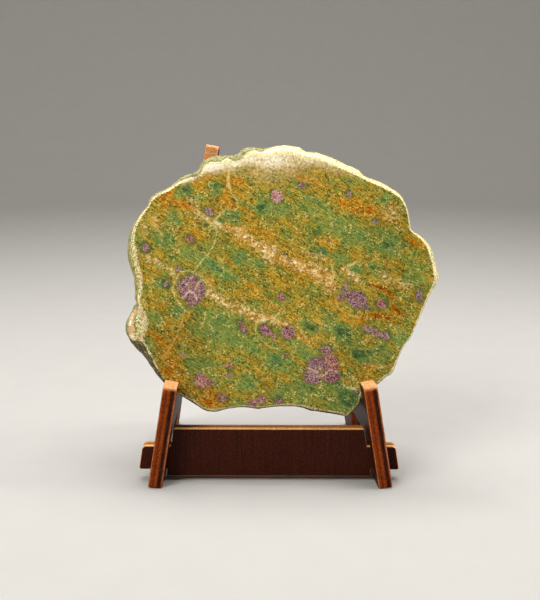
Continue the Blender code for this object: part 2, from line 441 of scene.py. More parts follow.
@dataclass(frozen=True)
class Band:
    """A band of one mineral along a line: strength * exp(-(d / half the width)^2)."""

    width: float
    strength: float
    line: Points

    def weight(self, stone: np.ndarray) -> np.ndarray:
        """How much of the mineral the band puts at each place, 0 to 1."""
        return self.strength * np.exp(-((distance_to_line(stone[:, :2], self.line) / (self.width / 2)) ** 2))


RUBIES = (
    # The largest grain, at the left.
    Ruby(-28, 3.3, 10.4, 11.5, 0, Tint.MAUVE, 0.6, corners=(
        (-33.1, 4.7), (-31.3, 7.9), (-28.5, 9), (-27, 9), (-25.2, 7.2), (-23.1, 5.8), (-22.7, 3.2),
        (-23.8, 1.1), (-24.9, -0.7), (-26.7, -2), (-28.5, -2.5), (-29.5, -0.7), (-31, 0.7), (-32.8, 2.9))),
    Ruby(-27.6, 0.7, 3.4, 3.6, 0, Tint.WINE, 0.0),
    Ruby(2.8, 37.2, 4.2, 4.8, 20, Tint.PINK, 0.7),
    Ruby(-21.6, 32.0, 3.3, 2.2, -50, Tint.LILAC, 0.8),
    Ruby(-28.5, 21.9, 3.3, 2.1, -30, Tint.ROSE, 1.0),
    Ruby(-44.6, 18.7, 2.8, 3.0, 0, Tint.LILAC, 1.0),
    Ruby(-32.8, 11.1, 1.8, 1.7, 0, Tint.GREY, 0.6),
    Ruby(-37.1, 5.8, 3.0, 2.0, 60, Tint.SMOKE, 0.8),
    Ruby(-29.9, 40.3, 1.1, 1.1, 0, Tint.GREY, 0.7),
    Ruby(11.8, 41.2, 3.2, 1.5, -30, Tint.GREY, 0.6),
    Ruby(28.7, 38.1, 1.8, 1.8, 0, Tint.GREY, 1.0),
    Ruby(38.1, 28.4, 2.1, 1.4, -20, Tint.GREY, 0.6),
    # The cluster at the right and its neighbours.
    Ruby(31.2, 0.4, 8.0, 6.0, -25, Tint.MAUVE, 0.5),
    Ruby(25.8, 1.1, 2.3, 2.5, 0, Tint.MAUVE, 0.6),
    Ruby(27.5, 4.5, 3.6, 1.7, 65, Tint.GREY, 0.6),
    Ruby(34.8, -2.5, 2.4, 1.9, -20, Tint.MAUVE, 0.7),
    Ruby(40.4, -1.3, 3.4, 3.3, 0, Tint.ROSE, 1.0),
    Ruby(53.9, 1.8, 2.2, 4.0, 10, Tint.GREY, 0.8),
    Ruby(4.3, 0.9, 2.5, 2.9, 20, Tint.ROSE, 0.5),
    Ruby(35.6, -10.3, 4.2, 2.4, -25, Tint.LILAC, 0.8),
    Ruby(38.8, -11.9, 3.8, 2.6, -20, Tint.LILAC, 0.8),
    Ruby(41.7, -12.8, 3.0, 2.4, -10, Tint.LILAC, 0.9),
    # The row along the middle.
    Ruby(-9.6, -9.8, 5.0, 1.9, -58, Tint.ORCHID, 0.8),
    Ruby(-1.3, -10.8, 4.9, 2.8, -48, Tint.ORCHID, 0.9),
    Ruby(1.6, -12.8, 2.4, 1.3, -25, Tint.ORCHID, 0.6),
    Ruby(6.8, -11.7, 4.4, 4.4, 20, Tint.ORCHID, 0.6),
    # The five-grain cluster at the bottom.
    Ruby(20.4, -18.0, 4.7, 2.9, -5, Tint.MAUVE, 0.7),
    Ruby(22.3, -22.5, 5.2, 6.2, 10, Tint.ROSE, 0.6),
    Ruby(17.2, -23.1, 7.2, 4.8, 15, Tint.MAUVE, 0.7),
    Ruby(15.6, -27.3, 6.6, 5.4, -15, Tint.MAUVE, 0.7),
    Ruby(22.4, -27.3, 6.8, 5.0, 5, Tint.WINE, 0.7),
    Ruby(19.2, -24.9, 2.6, 1.8, 0, Tint.MAUVE, 0.3),
    # Small ones along the bottom.
    Ruby(-23.6, -28.9, 7.8, 5.4, 0, Tint.ROSE, 0.4, corners=(
        (-27.4, -28.8), (-25.9, -27.0), (-24.5, -26.2), (-22.4, -28.0), (-19.8, -29.1), (-19.5, -30.6),
        (-21.3, -30.9), (-23.8, -31.6), (-25.9, -31.3))),
    Ruby(-14.4, -23.7, 2.6, 1.7, -20, Tint.ROSE, 0.6),
    Ruby(-14.4, -27.0, 2.8, 1.3, 0, Tint.GREY, 0.4),
    Ruby(-30.6, -19.8, 2.2, 1.3, -20, Tint.LILAC, 0.3),
    Ruby(-17.0, -35.2, 3.2, 2.8, 0, Tint.WINE, 0.6),
    Ruby(-2.6, -35.8, 3.1, 2.2, 25, Tint.ORCHID, 0.5),
    Ruby(-5.8, -37.2, 3.8, 2.4, 25, Tint.ORCHID, 0.5),
    Ruby(3.5, -36.7, 2.4, 2.9, 0, Tint.MAUVE, 0.6),
    Ruby(6.1, -19.8, 1.4, 1.3, 0, Tint.ROSE, 0.7),
    Ruby(31.6, -33.1, 1.4, 1.8, 0, Tint.SMOKE, 0.5),
    Ruby(17.2, -10.8, 1.4, 1.0, 0, Tint.LILAC, 0.3),
    # Grains that only the back and the side wall cut.
    Ruby(-18.0, 24.0, 6.5, 4.5, 30, Tint.MAUVE, 0.6, 12.0),
    Ruby(12.0, 22.0, 9.0, 7.0, -20, Tint.MAUVE, 0.6, 13.0),
    Ruby(40.0, 24.0, 4.0, 5.0, 0, Tint.ROSE, 0.8, 11.5),
    Ruby(-6.0, 44.0, 3.5, 3.0, 0, Tint.PINK, 0.7, 12.0),
    Ruby(-38.0, -14.0, 5.0, 4.0, 40, Tint.ORCHID, 0.8, 12.0),
    Ruby(-8.0, -22.0, 7.5, 5.0, -35, Tint.WINE, 0.6, 12.5),
    Ruby(14.0, -2.0, 3.2, 3.0, 0, Tint.ROSE, 0.8, 12.0),
    Ruby(44.0, 8.0, 5.5, 3.5, 15, Tint.LILAC, 0.7, 12.5),
    Ruby(34.0, -24.0, 4.5, 3.5, -30, Tint.ORCHID, 0.7, 11.5),
    Ruby(-30.0, 42.0, 3.0, 2.5, 0, Tint.GREY, 0.8, 9.5),
    Ruby(56.5, 20.0, 3.0, 3.0, 0, Tint.MAUVE, 0.8, 9.0),
    Ruby(-45.0, 24.0, 3.0, 2.5, 0, Tint.ROSE, 0.8, 9.5),
)

# Across, up, length and width of each patch, then its turn and strength where it has its own.
PATCHES = {
    # Clear zoisite, and broad areas where it carries little iron.
    Mineral.GREEN: (
        (-33.1, 37.8, 5, 3.8), (-34.6, 29.8, 7.6, 4.6, -60), (-18, 27.6, 4.2, 3.4),
        (-4.7, 12.9, 8, 3.6, -10), (-17.7, -10.8, 18, 14, -30, 0.98), (-24, -24, 14, 8, -30, 0.6),
        (2.8, -22.3, 11, 8), (14.7, -9.7, 9, 4.6), (26, -12, 14, 8), (36, -20, 16, 6, 0),
        (26, -35.2, 16, 12, 0), (23.7, 27, 14, 9), (31.6, 23.4, 11, 8), (43.4, 19.8, 14, 10),
        (31.6, 11.5, 5.4, 5), (25.5, 15.1, 6, 4.4, 0), (-43.9, -16.2, 6, 5), (-40, -7.2, 7, 5, -50),
        (53, 10, 9, 9, -60, 0.7), (-8, -30, 9, 6), (10, -33, 18, 8, -5), (2, 33, 12, 8, 0),
        (16, 32, 12, 6, -30, 0.5), (-38, 22, 9, 6), (47, -14, 10, 8, -60), (12, -18, 14, 6), (13, 36, 4, 3),
        (-8, -16, 9, 6, -30, 0.8),
    ),
    # The deepest green.
    Mineral.DARK: (
        (-29.9, 40.3, 5.4, 4.2), (-19.5, 40.6, 6.4, 4.4), (-13, 29.8, 7, 4.8), (-10.1, 15.8, 5.4, 4.8, 0),
        (2.8, -22, 6, 4, -30, 0.6), (14, -9.5, 5, 2), (26.8, -11, 6, 4), (33, -19.5, 9, 3, 0),
        (28.5, -36, 9, 7, 0, 0.5), (43, 20, 5, 3.4, -30, 0.4), (37, 12.6, 3.4, 3), (19, 16.9, 4.6, 3.2, 0),
        (40.9, 36, 5, 2.6, 10), (-32.1, -4.3, 5, 4), (-39.3, 6.1, 4, 5), (18.5, 24.5, 3.2, 2.4),
        (-3.5, 33.5, 4, 3),
    ),
    # Iron stain.
    Mineral.OCHRE: (
        (-35, 35, 12, 8), (-12.3, 42.1, 13, 6, 0), (-16, 36, 13, 6), (30.9, 33.1, 16, 6),
        (30.9, -6.5, 12, 4, -5), (11.1, -13.8, 10, 4), (27.5, -20, 10, 5, -50), (-38.5, -4.3, 9, 5, -60),
        (-38.5, -14.4, 9, 8), (-35.7, -26, 12, 10), (-24.9, -34.9, 18, 9, -20), (5, 6.1, 13, 6),
        (-4, 22, 30, 12), (10, 14, 26, 10), (14, 45, 22, 8, -20), (-8, 4, 18, 8), (22, 20, 16, 4),
        (40, 30, 14, 9), (-46, 10, 8, 7, -60), (-28, 26, 12, 8), (0, -30, 10, 4, -20),
        (45, 12, 9, 6, -30, 0.8),
    ),
    # Where the iron gathers.
    Mineral.RUST: (
        (-37.1, 37, 6, 4.4, -80, 0.7), (-32.1, 34.2, 9, 2.2, -10, 0.6), (-9.5, 43, 4, 4, 0, 0.5),
        (-15.5, 35.5, 7, 3, -20, 0.6), (-21.6, 44.2, 5, 3, 0, 0.6), (32.5, 32, 7, 2.4, -30, 0.6),
        (50.6, 21.6, 8, 2.6, -40, 0.8), (49.8, 17.4, 4, 2.4, 0, 0.7), (39.1, -5.8, 6, 1.8, 0, 0.8),
        (10.8, -13.6, 4, 1.6, -20, 0.5), (26.4, -24.6, 5, 1.8, -55, 0.8), (28.3, -29.8, 3.6, 2.4, -30, 0.8),
        (-38.6, -3.6, 3.4, 1.6, -50, 0.6), (-36.5, -24, 5, 4, -60, 0.6), (-21, -35, 8, 4, -20, 0.45),
        (13, 44, 8, 3, -20, 0.4), (22, 18.5, 6, 1.6, -25, 0.5), (26.6, 15.8, 5, 1.4, -30, 0.6),
        (-40, -10, 12, 9, -60, 0.35), (-37, -26, 15, 12, -40, 0.3), (-24, -35, 20, 9, -20, 0.35),
        (-20, 42.5, 26, 7, -5, 0.3), (-36, 34, 13, 10, 0, 0.35), (34, 34, 18, 9, -20, 0.3),
        (12, 8, 22, 6, -25, 0.25), (-12, 31, 26, 7, -25, 0.25), (47, -9, 9, 6, -60, 0.3),
    ),
    # Granular feldspar.
    Mineral.PALE: (
        (43.8, 30.9, 9, 8, 0, 0.5), (33.5, -1, 1, 1, 0, 0.3), (-44.5, 25.5, 4, 4, 0, 0.45),
    ),
    # Painted reflection of the overhead light on the face under the top rim.
    Mineral.BLEACH: (
        (0, 51.5, 44, 9, -4, 0.8), (-1, 48.5, 26, 12, -4, 0.35), (-16, 49, 22, 8, 12, 0.75),
        (22, 48, 28, 5, -22, 0.5), (4, 44, 40, 10, -4, 0.2),
    ),
    # Darker stone, mostly towards the bottom and the sides, and on the deepest greens.
    Mineral.SHADE: (
        (-35, -20, 30, 32, -40, 0.62), (-24, -36, 34, 12, -10, 0.45), (44, -2, 16, 22, -40, 0.32),
        (40, 20, 22, 14, -30, 0.15), (33, -14, 22, 9, -10, 0.25), (34, -22, 30, 20, 0, 0.42),
        (26, -37, 18, 12, 0, 0.45), (-37, 6, 5, 6, 60, 0.3), (14, -10, 9, 4, -20, 0.25),
        (44, 22, 18, 26, 0, 0.3), (4, -33, 30, 12, 0, 0.3), (-19.5, 40.6, 6.4, 4.4, 0, 0.45),
        (-29.9, 40.3, 5.4, 4.2, 0, 0.45), (-13, 29.8, 6, 4, -20, 0.35), (-10.1, 15.8, 5, 4.4, 0, 0.3),
        (19, 16.9, 4.6, 3.2, 0, 0.35), (-30, -8, 18, 16, -40, 0.2), (-38, -14, 10, 12, 0, 0.2),
        (41, -5, 9, 5, -10, 0.3), (49.5, 20.5, 9, 4, -40, 0.4), (45.5, 31.5, 9, 8, 0, 0.35),
    ),
}

# Width, strength and line of each band.
BANDS = {
    Mineral.GREEN: (
        (5, 0.7, ((-52.5, 22), (-51.5, 12), (-49.5, 4), (-50, -2))),
        (5, 0.95, ((-30.3, 17.3), (-19.5, 12.2), (-12.3, 7.6))),
        (3, 0.7, ((-20, 1.5), (-15, -2), (-8, -7))),
    ),
    Mineral.DARK: (
        (2.6, 0.5, ((-21, 12.6), (-16, 10))),
        # Painted shade in the crease above the knob, along its groove.
        (1.6, 0.9, ((-51, 0), (-47.2, -2.6), (-44.6, -6.2))),
    ),
    Mineral.OCHRE: (
        (2.4, 1, ((37.6, 5.4), (41.2, 3.9), (44, 1.4), (44.9, -2.2), (47.3, -4.4))),
        (3.4, 1, ((24, 0), (26.5, -4), (31, -6.6), (36.5, -6.2), (42.5, -5))),
        (4, 0.9, ((-31, -5), (-33, -13), (-38, -21))),
    ),
    Mineral.RUST: (
        # The red arc at the right.
        (2.6, 1, ((37.6, 5.4), (41.2, 3.9), (44, 1.4), (44.9, -2.2), (47.3, -4.4))),
        (1.8, 0.9, ((33.5, -6.4), (36.5, -5.6), (40.5, -5.6), (43, -6.2))),
    ),
    Mineral.PALE: (
        (2.6, 0.75, ((-28.5, 36), (-24.9, 31.6), (-19.5, 27.3), (-10.5, 24.1))),
        (3.2, 0.9, ((-10.5, 24.1), (-2.6, 18.7), (2.1, 15.8), (9.3, 12.9))),
        (5, 0.95, ((-1, 18.5), (0.5, 15.5))), (3.8, 1, ((9.3, 12.9), (14.7, 10.8), (22.6, 4.7))),
        (4, 0.8, ((17.5, 11.5), (21.5, 9))),
        (3, 0.6, ((-45.4, 16.2), (-41.1, 13.7), (-35.7, 10.1), (-33.5, 8.3))),
        (4, 0.92, ((-22.4, 2.5), (-15.9, -1.1), (-6.9, -4.7), (-2.6, -6.5))),
        (3, 0.85, ((-2.6, -6.5), (3.9, -7.2), (5, -9))), (2.6, 0.8, ((27.3, 10.8), (31.9, 7.2))),
        (3, 0.5, ((39.1, 10.1), (47, 6.1), (50.6, 4.7))), (1.4, 0.55, ((34.5, -23), (43.4, -24.2))),
        (2.4, 0.6, ((14, 16.5), (19.5, 15))), (2.6, 0.5, ((-43.5, 31.5), (-40.5, 27.5), (-38.5, 23.5))),
        (2, 0.5, ((26.5, -31), (31, -27))), (1.6, 0.55, ((6, -8), (9.5, -12.5), (14, -16))),
    ),
    Mineral.BLEACH: (
        # Painted reflection of the overhead light along the upper left rim.
        (3.4, 0.95, ((-31, 42.5), (-26, 45.3), (-22.5, 48.2), (-18, 49.2), (-12, 50.2), (-7, 52), (0, 53))),
    ),
    Mineral.SHADE: (
        # Painted shade in the crease above the knob, along its groove.
        (1.5, 1, ((-50.5, -0.5), (-47.2, -2.8), (-44.2, -6.4), (-43.6, -9))),
        (2, 0.6, ((38.5, 5.8), (41.8, 4), (44.2, 1.6), (45.2, -2))),
    ),
}

# Width, share of iron and line of each vein.
VEINS = (
    (0.8, 0, ((-14.4, 46.7), (-14.8, 43.1), (-14.4, 40.3))),
    (0.45, 0, (
        (-14.4, 40.3), (-13.4, 37.8), (-11.6, 36), (-11.2, 33.4), (-12.3, 32.4), (-15.5, 32.7), (-17, 31.3),
        (-18.8, 29.8), (-20.2, 27.3), (-19.1, 26.6), (-18.8, 24.5), (-19.5, 20.9), (-21.3, 17.6),
        (-23.8, 14.4), (-25.9, 11.9), (-27, 10.1))),
    (0.45, 0, ((-24.9, 30.6), (-22.4, 28.4), (-19.8, 27))), (0.4, 0, ((-17, 31.3), (-13.4, 30.9))),
    (0.5, 0, ((22.2, 14), (22.6, 11.9), (23.3, 9.7), (23, 7.9), (22.2, 6.1))),
    (0.45, 0, ((17.2, -7.2), (17.3, -7.9), (18.3, -8.6), (20.1, -8.8), (21.5, -9.6), (22.6, -10.8))),
    (0.5, 0, ((3.5, -4.7), (2.1, -6.1), (-0.1, -6.7), (-2.6, -6.1))),
    (0.55, 0, ((27.6, 12.2), (29.8, 12.9), (31.2, 13.7))),
    (0.9, 0, ((28.3, -31.4), (30.1, -32), (31.9, -31.3))),
    (0.4, 0.7, ((-30.3, -3.6), (-31, -7.2), (-32.1, -10.1), (-33.9, -14.4), (-35.7, -17.6), (-37.8, -20.5))),
    (0.4, 0, ((-26.3, 9.7), (-23.4, 7.6), (-21.3, 5.4), (-19.5, 3.6))),
    (0.4, 0.3, ((-4.4, -7.2), (-4.9, -10.8), (-2.8, -14.4), (0.3, -16.6), (3.9, -18))),
    (0.4, 0.2, ((10.4, -9.7), (12.2, -11.9), (14, -14.4))), (0.4, 0, ((26.5, -12.2), (28, -13.7))),
    (0.35, 0, ((-24.2, -9), (-22.7, -6.5))), (0.35, 0, ((-21.6, -8.6), (-19.8, -11.5))),
    # The cracks and the pale ring of the largest grain.
    (0.6, 0, ((-31, 0.7), (-29.5, 2.5), (-28.5, 3.1), (-27.4, 2.5), (-26.3, 1.4), (-25.9, 0))),
    (0.4, 0, ((-30.6, 6.6), (-29, 5), (-28.5, 3.1))), (0.4, 0, ((-25, 6.8), (-26.2, 4.6), (-27.4, 2.5))),
    (0.35, 0, ((-28.5, 7.6), (-27.4, 8.3))),
    (0.35, 0, (
        (-34.9, 3.6), (-33.5, 7.2), (-32.1, 10.1), (-28.5, 10.4), (-26.3, 9.3), (-22.7, 5.8), (-21.3, 2.9))),
    (0.45, 0, ((-34.9, 3.6), (-33.1, 0), (-31, -3.2), (-28.5, -4.7))),
    # Between the grains of the bottom cluster.
    (0.35, 0.3, ((13.4, -24.6), (15, -24.6), (16.8, -25.4), (18.3, -26.6), (19.5, -27.3))),
    (0.35, 0.3, ((19.3, -27.5), (20.2, -26.4), (21.6, -25.4), (23.3, -25.2), (24.8, -25.6))),
    (0.6, 1, ((18.3, -24.6), (19, -26), (19.2, -27.4))), (0.6, 0, ((18.6, -29.2), (18.5, -31.6))),
    (0.4, 0.8, ((24.5, -15.9), (26, -22))), (0.5, 0.5, ((23.5, 0.5), (25, -3), (29, -5.6), (33, -6.4))),
)

# The outline of the widest section, clockwise: across, up, how far the rounded rim reaches in from it, and
# how much of that rim is polished. Behind the polish comes the natural rind.
SLAB_OUTLINE = (
    (-51.9, 18.3, 4.5, 0.75), (-50.9, 23.7, 2.9, 0.75), (-49.4, 27.8, 2.4, 0.75), (-46.8, 31.6, 1.8, 0.6),
    (-44.6, 34.3, 1.8, 0.5), (-43.7, 36.7, 2, 0.5), (-40.6, 39.1, 2, 0.5), (-37.7, 40.4, 2, 0.5),
    (-33.7, 43.3, 2.3, 0.45), (-29.3, 45.9, 2.9, 0.42), (-26.7, 46.8, 3.1, 0.42), (-25.6, 48, 3, 0.42),
    (-24.7, 49.9, 3, 0.42), (-23.1, 51.3, 3.4, 0.42), (-19.8, 52.4, 4, 0.42), (-13.6, 53, 4.4, 0.42),
    (-11.4, 53.5, 4.4, 0.42), (-9.6, 54.8, 4.7, 0.45), (-6.6, 55.7, 4.8, 0.55), (-1.2, 55.4, 4.4, 0.7),
    (3.2, 56.3, 4.4, 0.86), (7.2, 56.4, 4.4, 0.86), (10.9, 55.7, 4.4, 0.86), (13.1, 54.4, 3.8, 0.86),
    (17.5, 53.6, 3.6, 0.86), (22.6, 51.9, 3.6, 0.86), (28.1, 49.3, 3.3, 0.86), (32.1, 47.5, 3.1, 0.86),
    (34.6, 45.3, 2.2, 0.86), (39.4, 43.4, 2.4, 0.86), (43.4, 41.5, 2.4, 0.86), (46.7, 39.3, 2.2, 0.86),
    (48.9, 36.5, 1.6, 0.86), (50.4, 32.2, 1.1, 0.86), (51.1, 27.4, 0.9, 0.88), (51.8, 25.4, 1.1, 0.88),
    (55.1, 23.2, 1.6, 0.88), (58, 20.3, 2, 0.88), (59.9, 16.1, 2.4, 0.88), (61.7, 9, 2.7, 0.88),
    (61, 6.2, 2.2, 0.88), (58, 0.7, 1.6, 0.88), (53.6, -8.8, 1.2, 0.88), (51.6, -13.2, 1.1, 0.88),
    (49.3, -16.4, 1.1, 0.88), (47.1, -21, 1.2, 0.88), (44.9, -26.5, 1.8, 0.88), (42.3, -28.1, 1.5, 0.88),
    (39.8, -30.5, 1.6, 0.55), (36.8, -32.1, 1.6, 0.55), (34.5, -33.2, 1.6, 0.55), (33.5, -35.1, 1.6, 0.55),
    (33.2, -37.3, 1.6, 0.55), (31.4, -39.8, 1.8, 0.55), (28.6, -42.4, 1.9, 0.55), (26.2, -42, 1.9, 0.55),
    (19.3, -40.7, 1.6, 0.55), (15.3, -40.2, 1.8, 0.55), (11.6, -39.1, 1.6, 0.55), (5.4, -38.6, 1.4, 0.55),
    (-4.1, -39.6, 1.4, 0.55), (-8.1, -39.1, 1.4, 0.55), (-14.7, -39.6, 1.4, 0.55),
    (-20.2, -40.8, 1.8, 0.55), (-23.8, -40.1, 1.8, 0.55), (-27.8, -37.3, 1.5, 0.55),
    (-33.3, -34, 1.5, 0.55), (-38.4, -29.8, 1.8, 0.28), (-41.4, -26.5, 2.4, 0.28),
    (-45.7, -20.6, 3.8, 0.28), (-49, -17, 5, 0.28), (-50.7, -14.2, 7.2, 0.75), (-51, -11.3, 7.8, 0.75),
    (-50.8, -8, 7.9, 0.75), (-50.1, -4.7, 6.2, 0.75), (-49, -0.7, 2.9, 0.75), (-48.9, 3.7, 3.6, 0.75),
    (-49.6, 8, 4.2, 0.75), (-51.2, 13.5, 4.5, 0.75),
)


# --- The stone -------------------------------------------------------------------------------


@dataclass(frozen=True)
class Cover:
    """How a mineral lies over the groundmass: the weights between which it sets in, and its ragged edge."""

    weight: str
    low: float
    high: float
    ragged: float
    strength: float


@dataclass(frozen=True)
class Rock:
    """What every step of the stone's finish reads: tree, places, marks, and the noises of its fabric."""

    tree: NodeTree
    stone: NodeSocket  # places (across, up, deep)
    marks: dict[str, NodeSocket]
    streaks: Node  # drawn out along the foliation
    fibres: Node  # the same, but finer
    clouds: Node
    fine: Node  # at 1 mm
    grain: Node
    picks: Node  # three random values for each crystal


@dataclass(frozen=True)
class PolishedZoisite:
    """Sawn and polished anyolite: granular zoisite with iron stain, hornblende and opaque ruby.

    The polish gives the face a clear sheen over dull, sugary colour. The natural rind stays matt and pitted.
    """

    # From the purest green zoisite to the heaviest iron stain.
    groundmass: Ramp = (
        (0.0, "#425f32"), (0.12, "#58773e"), (0.26, "#6d8440"), (0.38, "#7b8336"), (0.50, "#887c2b"),
        (0.60, "#967d26"), (0.72, "#a67f24"), (0.86, "#ae7719"), (1.0, "#945004"),
    )
    sugar: Ramp = ((0.0, "#8c5a1e"), (0.3, "#b98737"), (0.58, "#d6ac60"), (0.8, "#ecd08c"), (1.0, "#fff2d0"))
    # The painted reflection of the overhead light under the top rim, from warm tan to near white.
    haze: Ramp = (
        (0.22, "#ac8f48"), (0.36, "#c9ab78"), (0.46, "#e3cb9c"), (0.54, "#f8ebcc"), (0.62, "#fff6e0"),
    )
    # The knob's patchwork: tan, pink and olive stone, with near-white patches that are painted highlights.
    knob: Ramp = (
        (0.0, "#86743c"), (0.2, "#a0905a"), (0.45, "#b48a56"), (0.62, "#c89c7e"), (0.8, "#dcc088"),
        (1.0, "#f8ecc8"),
    )
    hornblende: str = "#2c522c"
    dark_crumb: str = "#4c4a1c"
    straw: str = "#d2b24e"
    glint_speck: str = "#e8cc78"
    vein: str = "#e2c884"
    iron_vein: str = "#c07c22"
    ruby_shade: str = "#452430"
    ruby_light: str = "#c9968f"
    ruby_crack: str = "#e2c6b6"
    # The rim's pale tone: the polished edge's own paler stone, with a painted highlight in it.
    rim: str = "#e8d8a4"
    rim_shade: str = "#97914f"
    rind: str = "#8f8a58"
    # Painted shade on the rind where it faces down.
    rind_painted_shade: str = "#4a4024"
    rind_spark: str = "#d9c992"
    pits: str = "#1c1a0e"
    ior: float = 1.45
    sheen: float = 0.3
    gloss: float = 0.24  # roughness of the polish
    matt: float = 0.8  # roughness of the rind
    relief: float = 0.9  # depth of the rind's bumps, in mm
    relief_mm: float = 1.4
    # The real grain goes down to 0.1 mm, too fine to show, so the finest sizes are about four times coarser.
    grain_mm: float = 0.5
    fine_mm: float = 1.0
    crystal_mm: float = 0.95
    crumb_mm: float = 0.42
    crowd_mm: float = 4.0  # where crumbs crowd together
    cloud_mm: float = 6.5
    sugar_mm: float = 0.75
    ruby_mm: float = 0.4
    knob_mm: float = 2.6
    pit_mm: float = 1.5
    streak_mm: tuple[float, float] = (8.0, 2.0)  # a streak's length and width
    fibre_mm: tuple[float, float] = (2.6, 0.5)
    streak_turn: float = -32.0  # degrees, down to the right
    crackle_mm: float = 2.4  # between the cracks in a ruby
    crazing_mm: float = 4.0  # between the faint cracks of the groundmass
    bend_mm: float = 2.5  # from one bend in them to the next
    crazed_mm: float = 7.0  # size of the areas that have them
    brightest: float = 2.2  # limits of a crystal's light, times its colour
    darkest: float = 0.22
    present: float = 0.2  # a cover fades out where its mark's weight is under this
    marks: tuple[str, ...] = (
        "hue", "calm", "shade", "pale", "bleach", "halo",
        "ruby", "vein", "iron", "rind", "rim", "low", "knob",
    )

    def fabric(self, tree: NodeTree) -> Rock:
        """Sets up the places, the marks that StoneSlab stores and the noises that the steps share.

        Args:
            tree: the finish's node tree.

        Returns:
            All of them.
        """
        stone = add(tree, "Attribute", attribute_name="stone").outputs["Vector"]
        turn = math.radians(-self.streak_turn)
        along = add(tree, "VectorRotate", {"Vector": stone, "Angle": turn}, rotation_type="Z_AXIS")
        kinds = [(stone, size, detail, 0.6)
                 for size, detail in ((self.cloud_mm, 4.0), (self.fine_mm, 2.0), (self.grain_mm, 1.0))]
        for (long, thin), detail, rough in ((self.fibre_mm, 2.0, 0.55), (self.streak_mm, 2.5, 0.5)):
            axes = add(tree, "Mapping", {"Vector": along, "Scale": (1 / long, 1 / thin, 1 / thin)})
            kinds.insert(0, (axes, 1.0, detail, rough))
        noises = [
            add(tree, "TexNoise", {"Vector": where, "Scale": 1 / size, "Detail": detail, "Roughness": rough})
            for where, size, detail, rough in kinds
        ]
        picks = cells(tree, stone, self.crystal_mm, sway=noises[3], bend=1.6)
        marks = {name: add(tree, "Attribute", attribute_name=name).outputs["Fac"] for name in self.marks}
        return Rock(tree, stone, marks, *noises, picks)

    def material(self) -> Material:
        """The finish, laid on in the order that one mineral cuts another.

        Returns:
            The material.
        """
        made, tree, shader = new_material("polished_anyolite")
        rock = self.fabric(tree)
        colour = self.ground(rock)
        for step in (self.flecks, self.covers, self.rubies, self.veins, self.rounded_rim, self.natural_rind):
            colour = step(rock, colour)
        relief = add(tree, "TexNoise", {
            "Vector": rock.stone, "Scale": 1 / self.relief_mm, "Detail": 4.0, "Roughness": 0.7})
        height = add(tree, "Math", {0: relief, 1: rock.marks["rind"]}, operation="MULTIPLY")
        bump = add(tree, "Bump", {"Height": height, "Strength": 1.0, "Distance": self.relief * MM})
        roughness = add(tree, "MapRange", {
            "Value": rock.marks["rind"], "To Min": self.gloss, "To Max": self.matt})
        tree.links.new(next(s for s in colour.outputs if s.enabled), shader.inputs["Base Color"])
        tree.links.new(roughness.outputs[0], shader.inputs["Roughness"])
        tree.links.new(bump.outputs[0], shader.inputs["Normal"])
        shader.inputs["IOR"].default_value = self.ior
        shader.inputs["Specular IOR Level"].default_value = self.sheen
        return made

    def ground(self, rock: Rock) -> Node:
        """The groundmass: crystals of green to rust, each a little lighter or darker than the next.

        Place on the ramp = the marks' hue + 0.16 of a crystal's own value + drift * quiet, where the drift is
        streaks + 0.8 clouds less their mean. Light = shade * (0.99 + steady * the noises of the fabric less
        their mean). Quiet and steady fall where the green is clear, and shade falls where the shade marks
        darken the stone, mostly towards the bottom.

        Args:
            rock: the fabric.

        Returns:
            The colour.
        """
        tree, marks = rock.tree, rock.marks
        quiet, steady, shade = (
            add(tree, "MapRange", {"Value": marks[name], "To Min": 1.0, "To Max": least})
            for name, least in (("calm", 0.35), ("calm", 0.55), ("shade", 0.55))
        )
        drift = total(tree, -0.9, (rock.streaks, 1.0), (rock.clouds, 0.8))
        hue = total(tree, marks["hue"], (rock.picks.outputs[0], 0.16), (drift, quiet))
        colour = add(tree, "ValToRGB", {"Fac": hue}, ramp=self.groundmass)
        light = total(tree, -3.75, (rock.grain, 2.2), (rock.fine, 1.6), (rock.fibres, 2.1),
                      (rock.streaks, 0.6), (rock.clouds, 0.4), (rock.picks.outputs[1], 0.6))
        light = total(tree, 0.99, (light, steady))
        light = add(tree, "Math", {0: light, 1: shade}, operation="MULTIPLY")
        light = add(tree, "Clamp", {"Value": light, "Min": self.darkest, "Max": self.brightest})
        return add(tree, "VectorMath", {0: colour, "Scale": light}, operation="SCALE")

    def flecks(self, rock: Rock, colour: Node) -> Node:
        """Straw-coloured fibres along the foliation, dark crumbs, and light specks that are painted glints;
        the crumbs and specks crowd together in places.

        Args:
            rock: the fabric.
            colour: the colour so far.

        Returns:
            The colour so far.
        """
        tree = rock.tree
        colour = lay(tree, colour, self.straw, rock.fibres, start=0.57, whole=0.75, share=0.5)
        chance = cells(tree, rock.stone, self.crumb_mm)
        crowd = add(tree, "TexNoise", {
            "Vector": rock.stone, "Scale": 1 / self.crowd_mm, "Detail": 3.0, "Roughness": 0.6})
        # The light specks are painted glints; the dark crumbs are the stone's own.
        for pick, tone, share in ((0, self.glint_speck, 0.65), (1, self.dark_crumb, 0.5)):
            odds = total(tree, chance.outputs[pick], (crowd, 2.0))
            colour = lay(tree, colour, tone, odds, start=1.97, whole=2.05, share=share)
        return colour

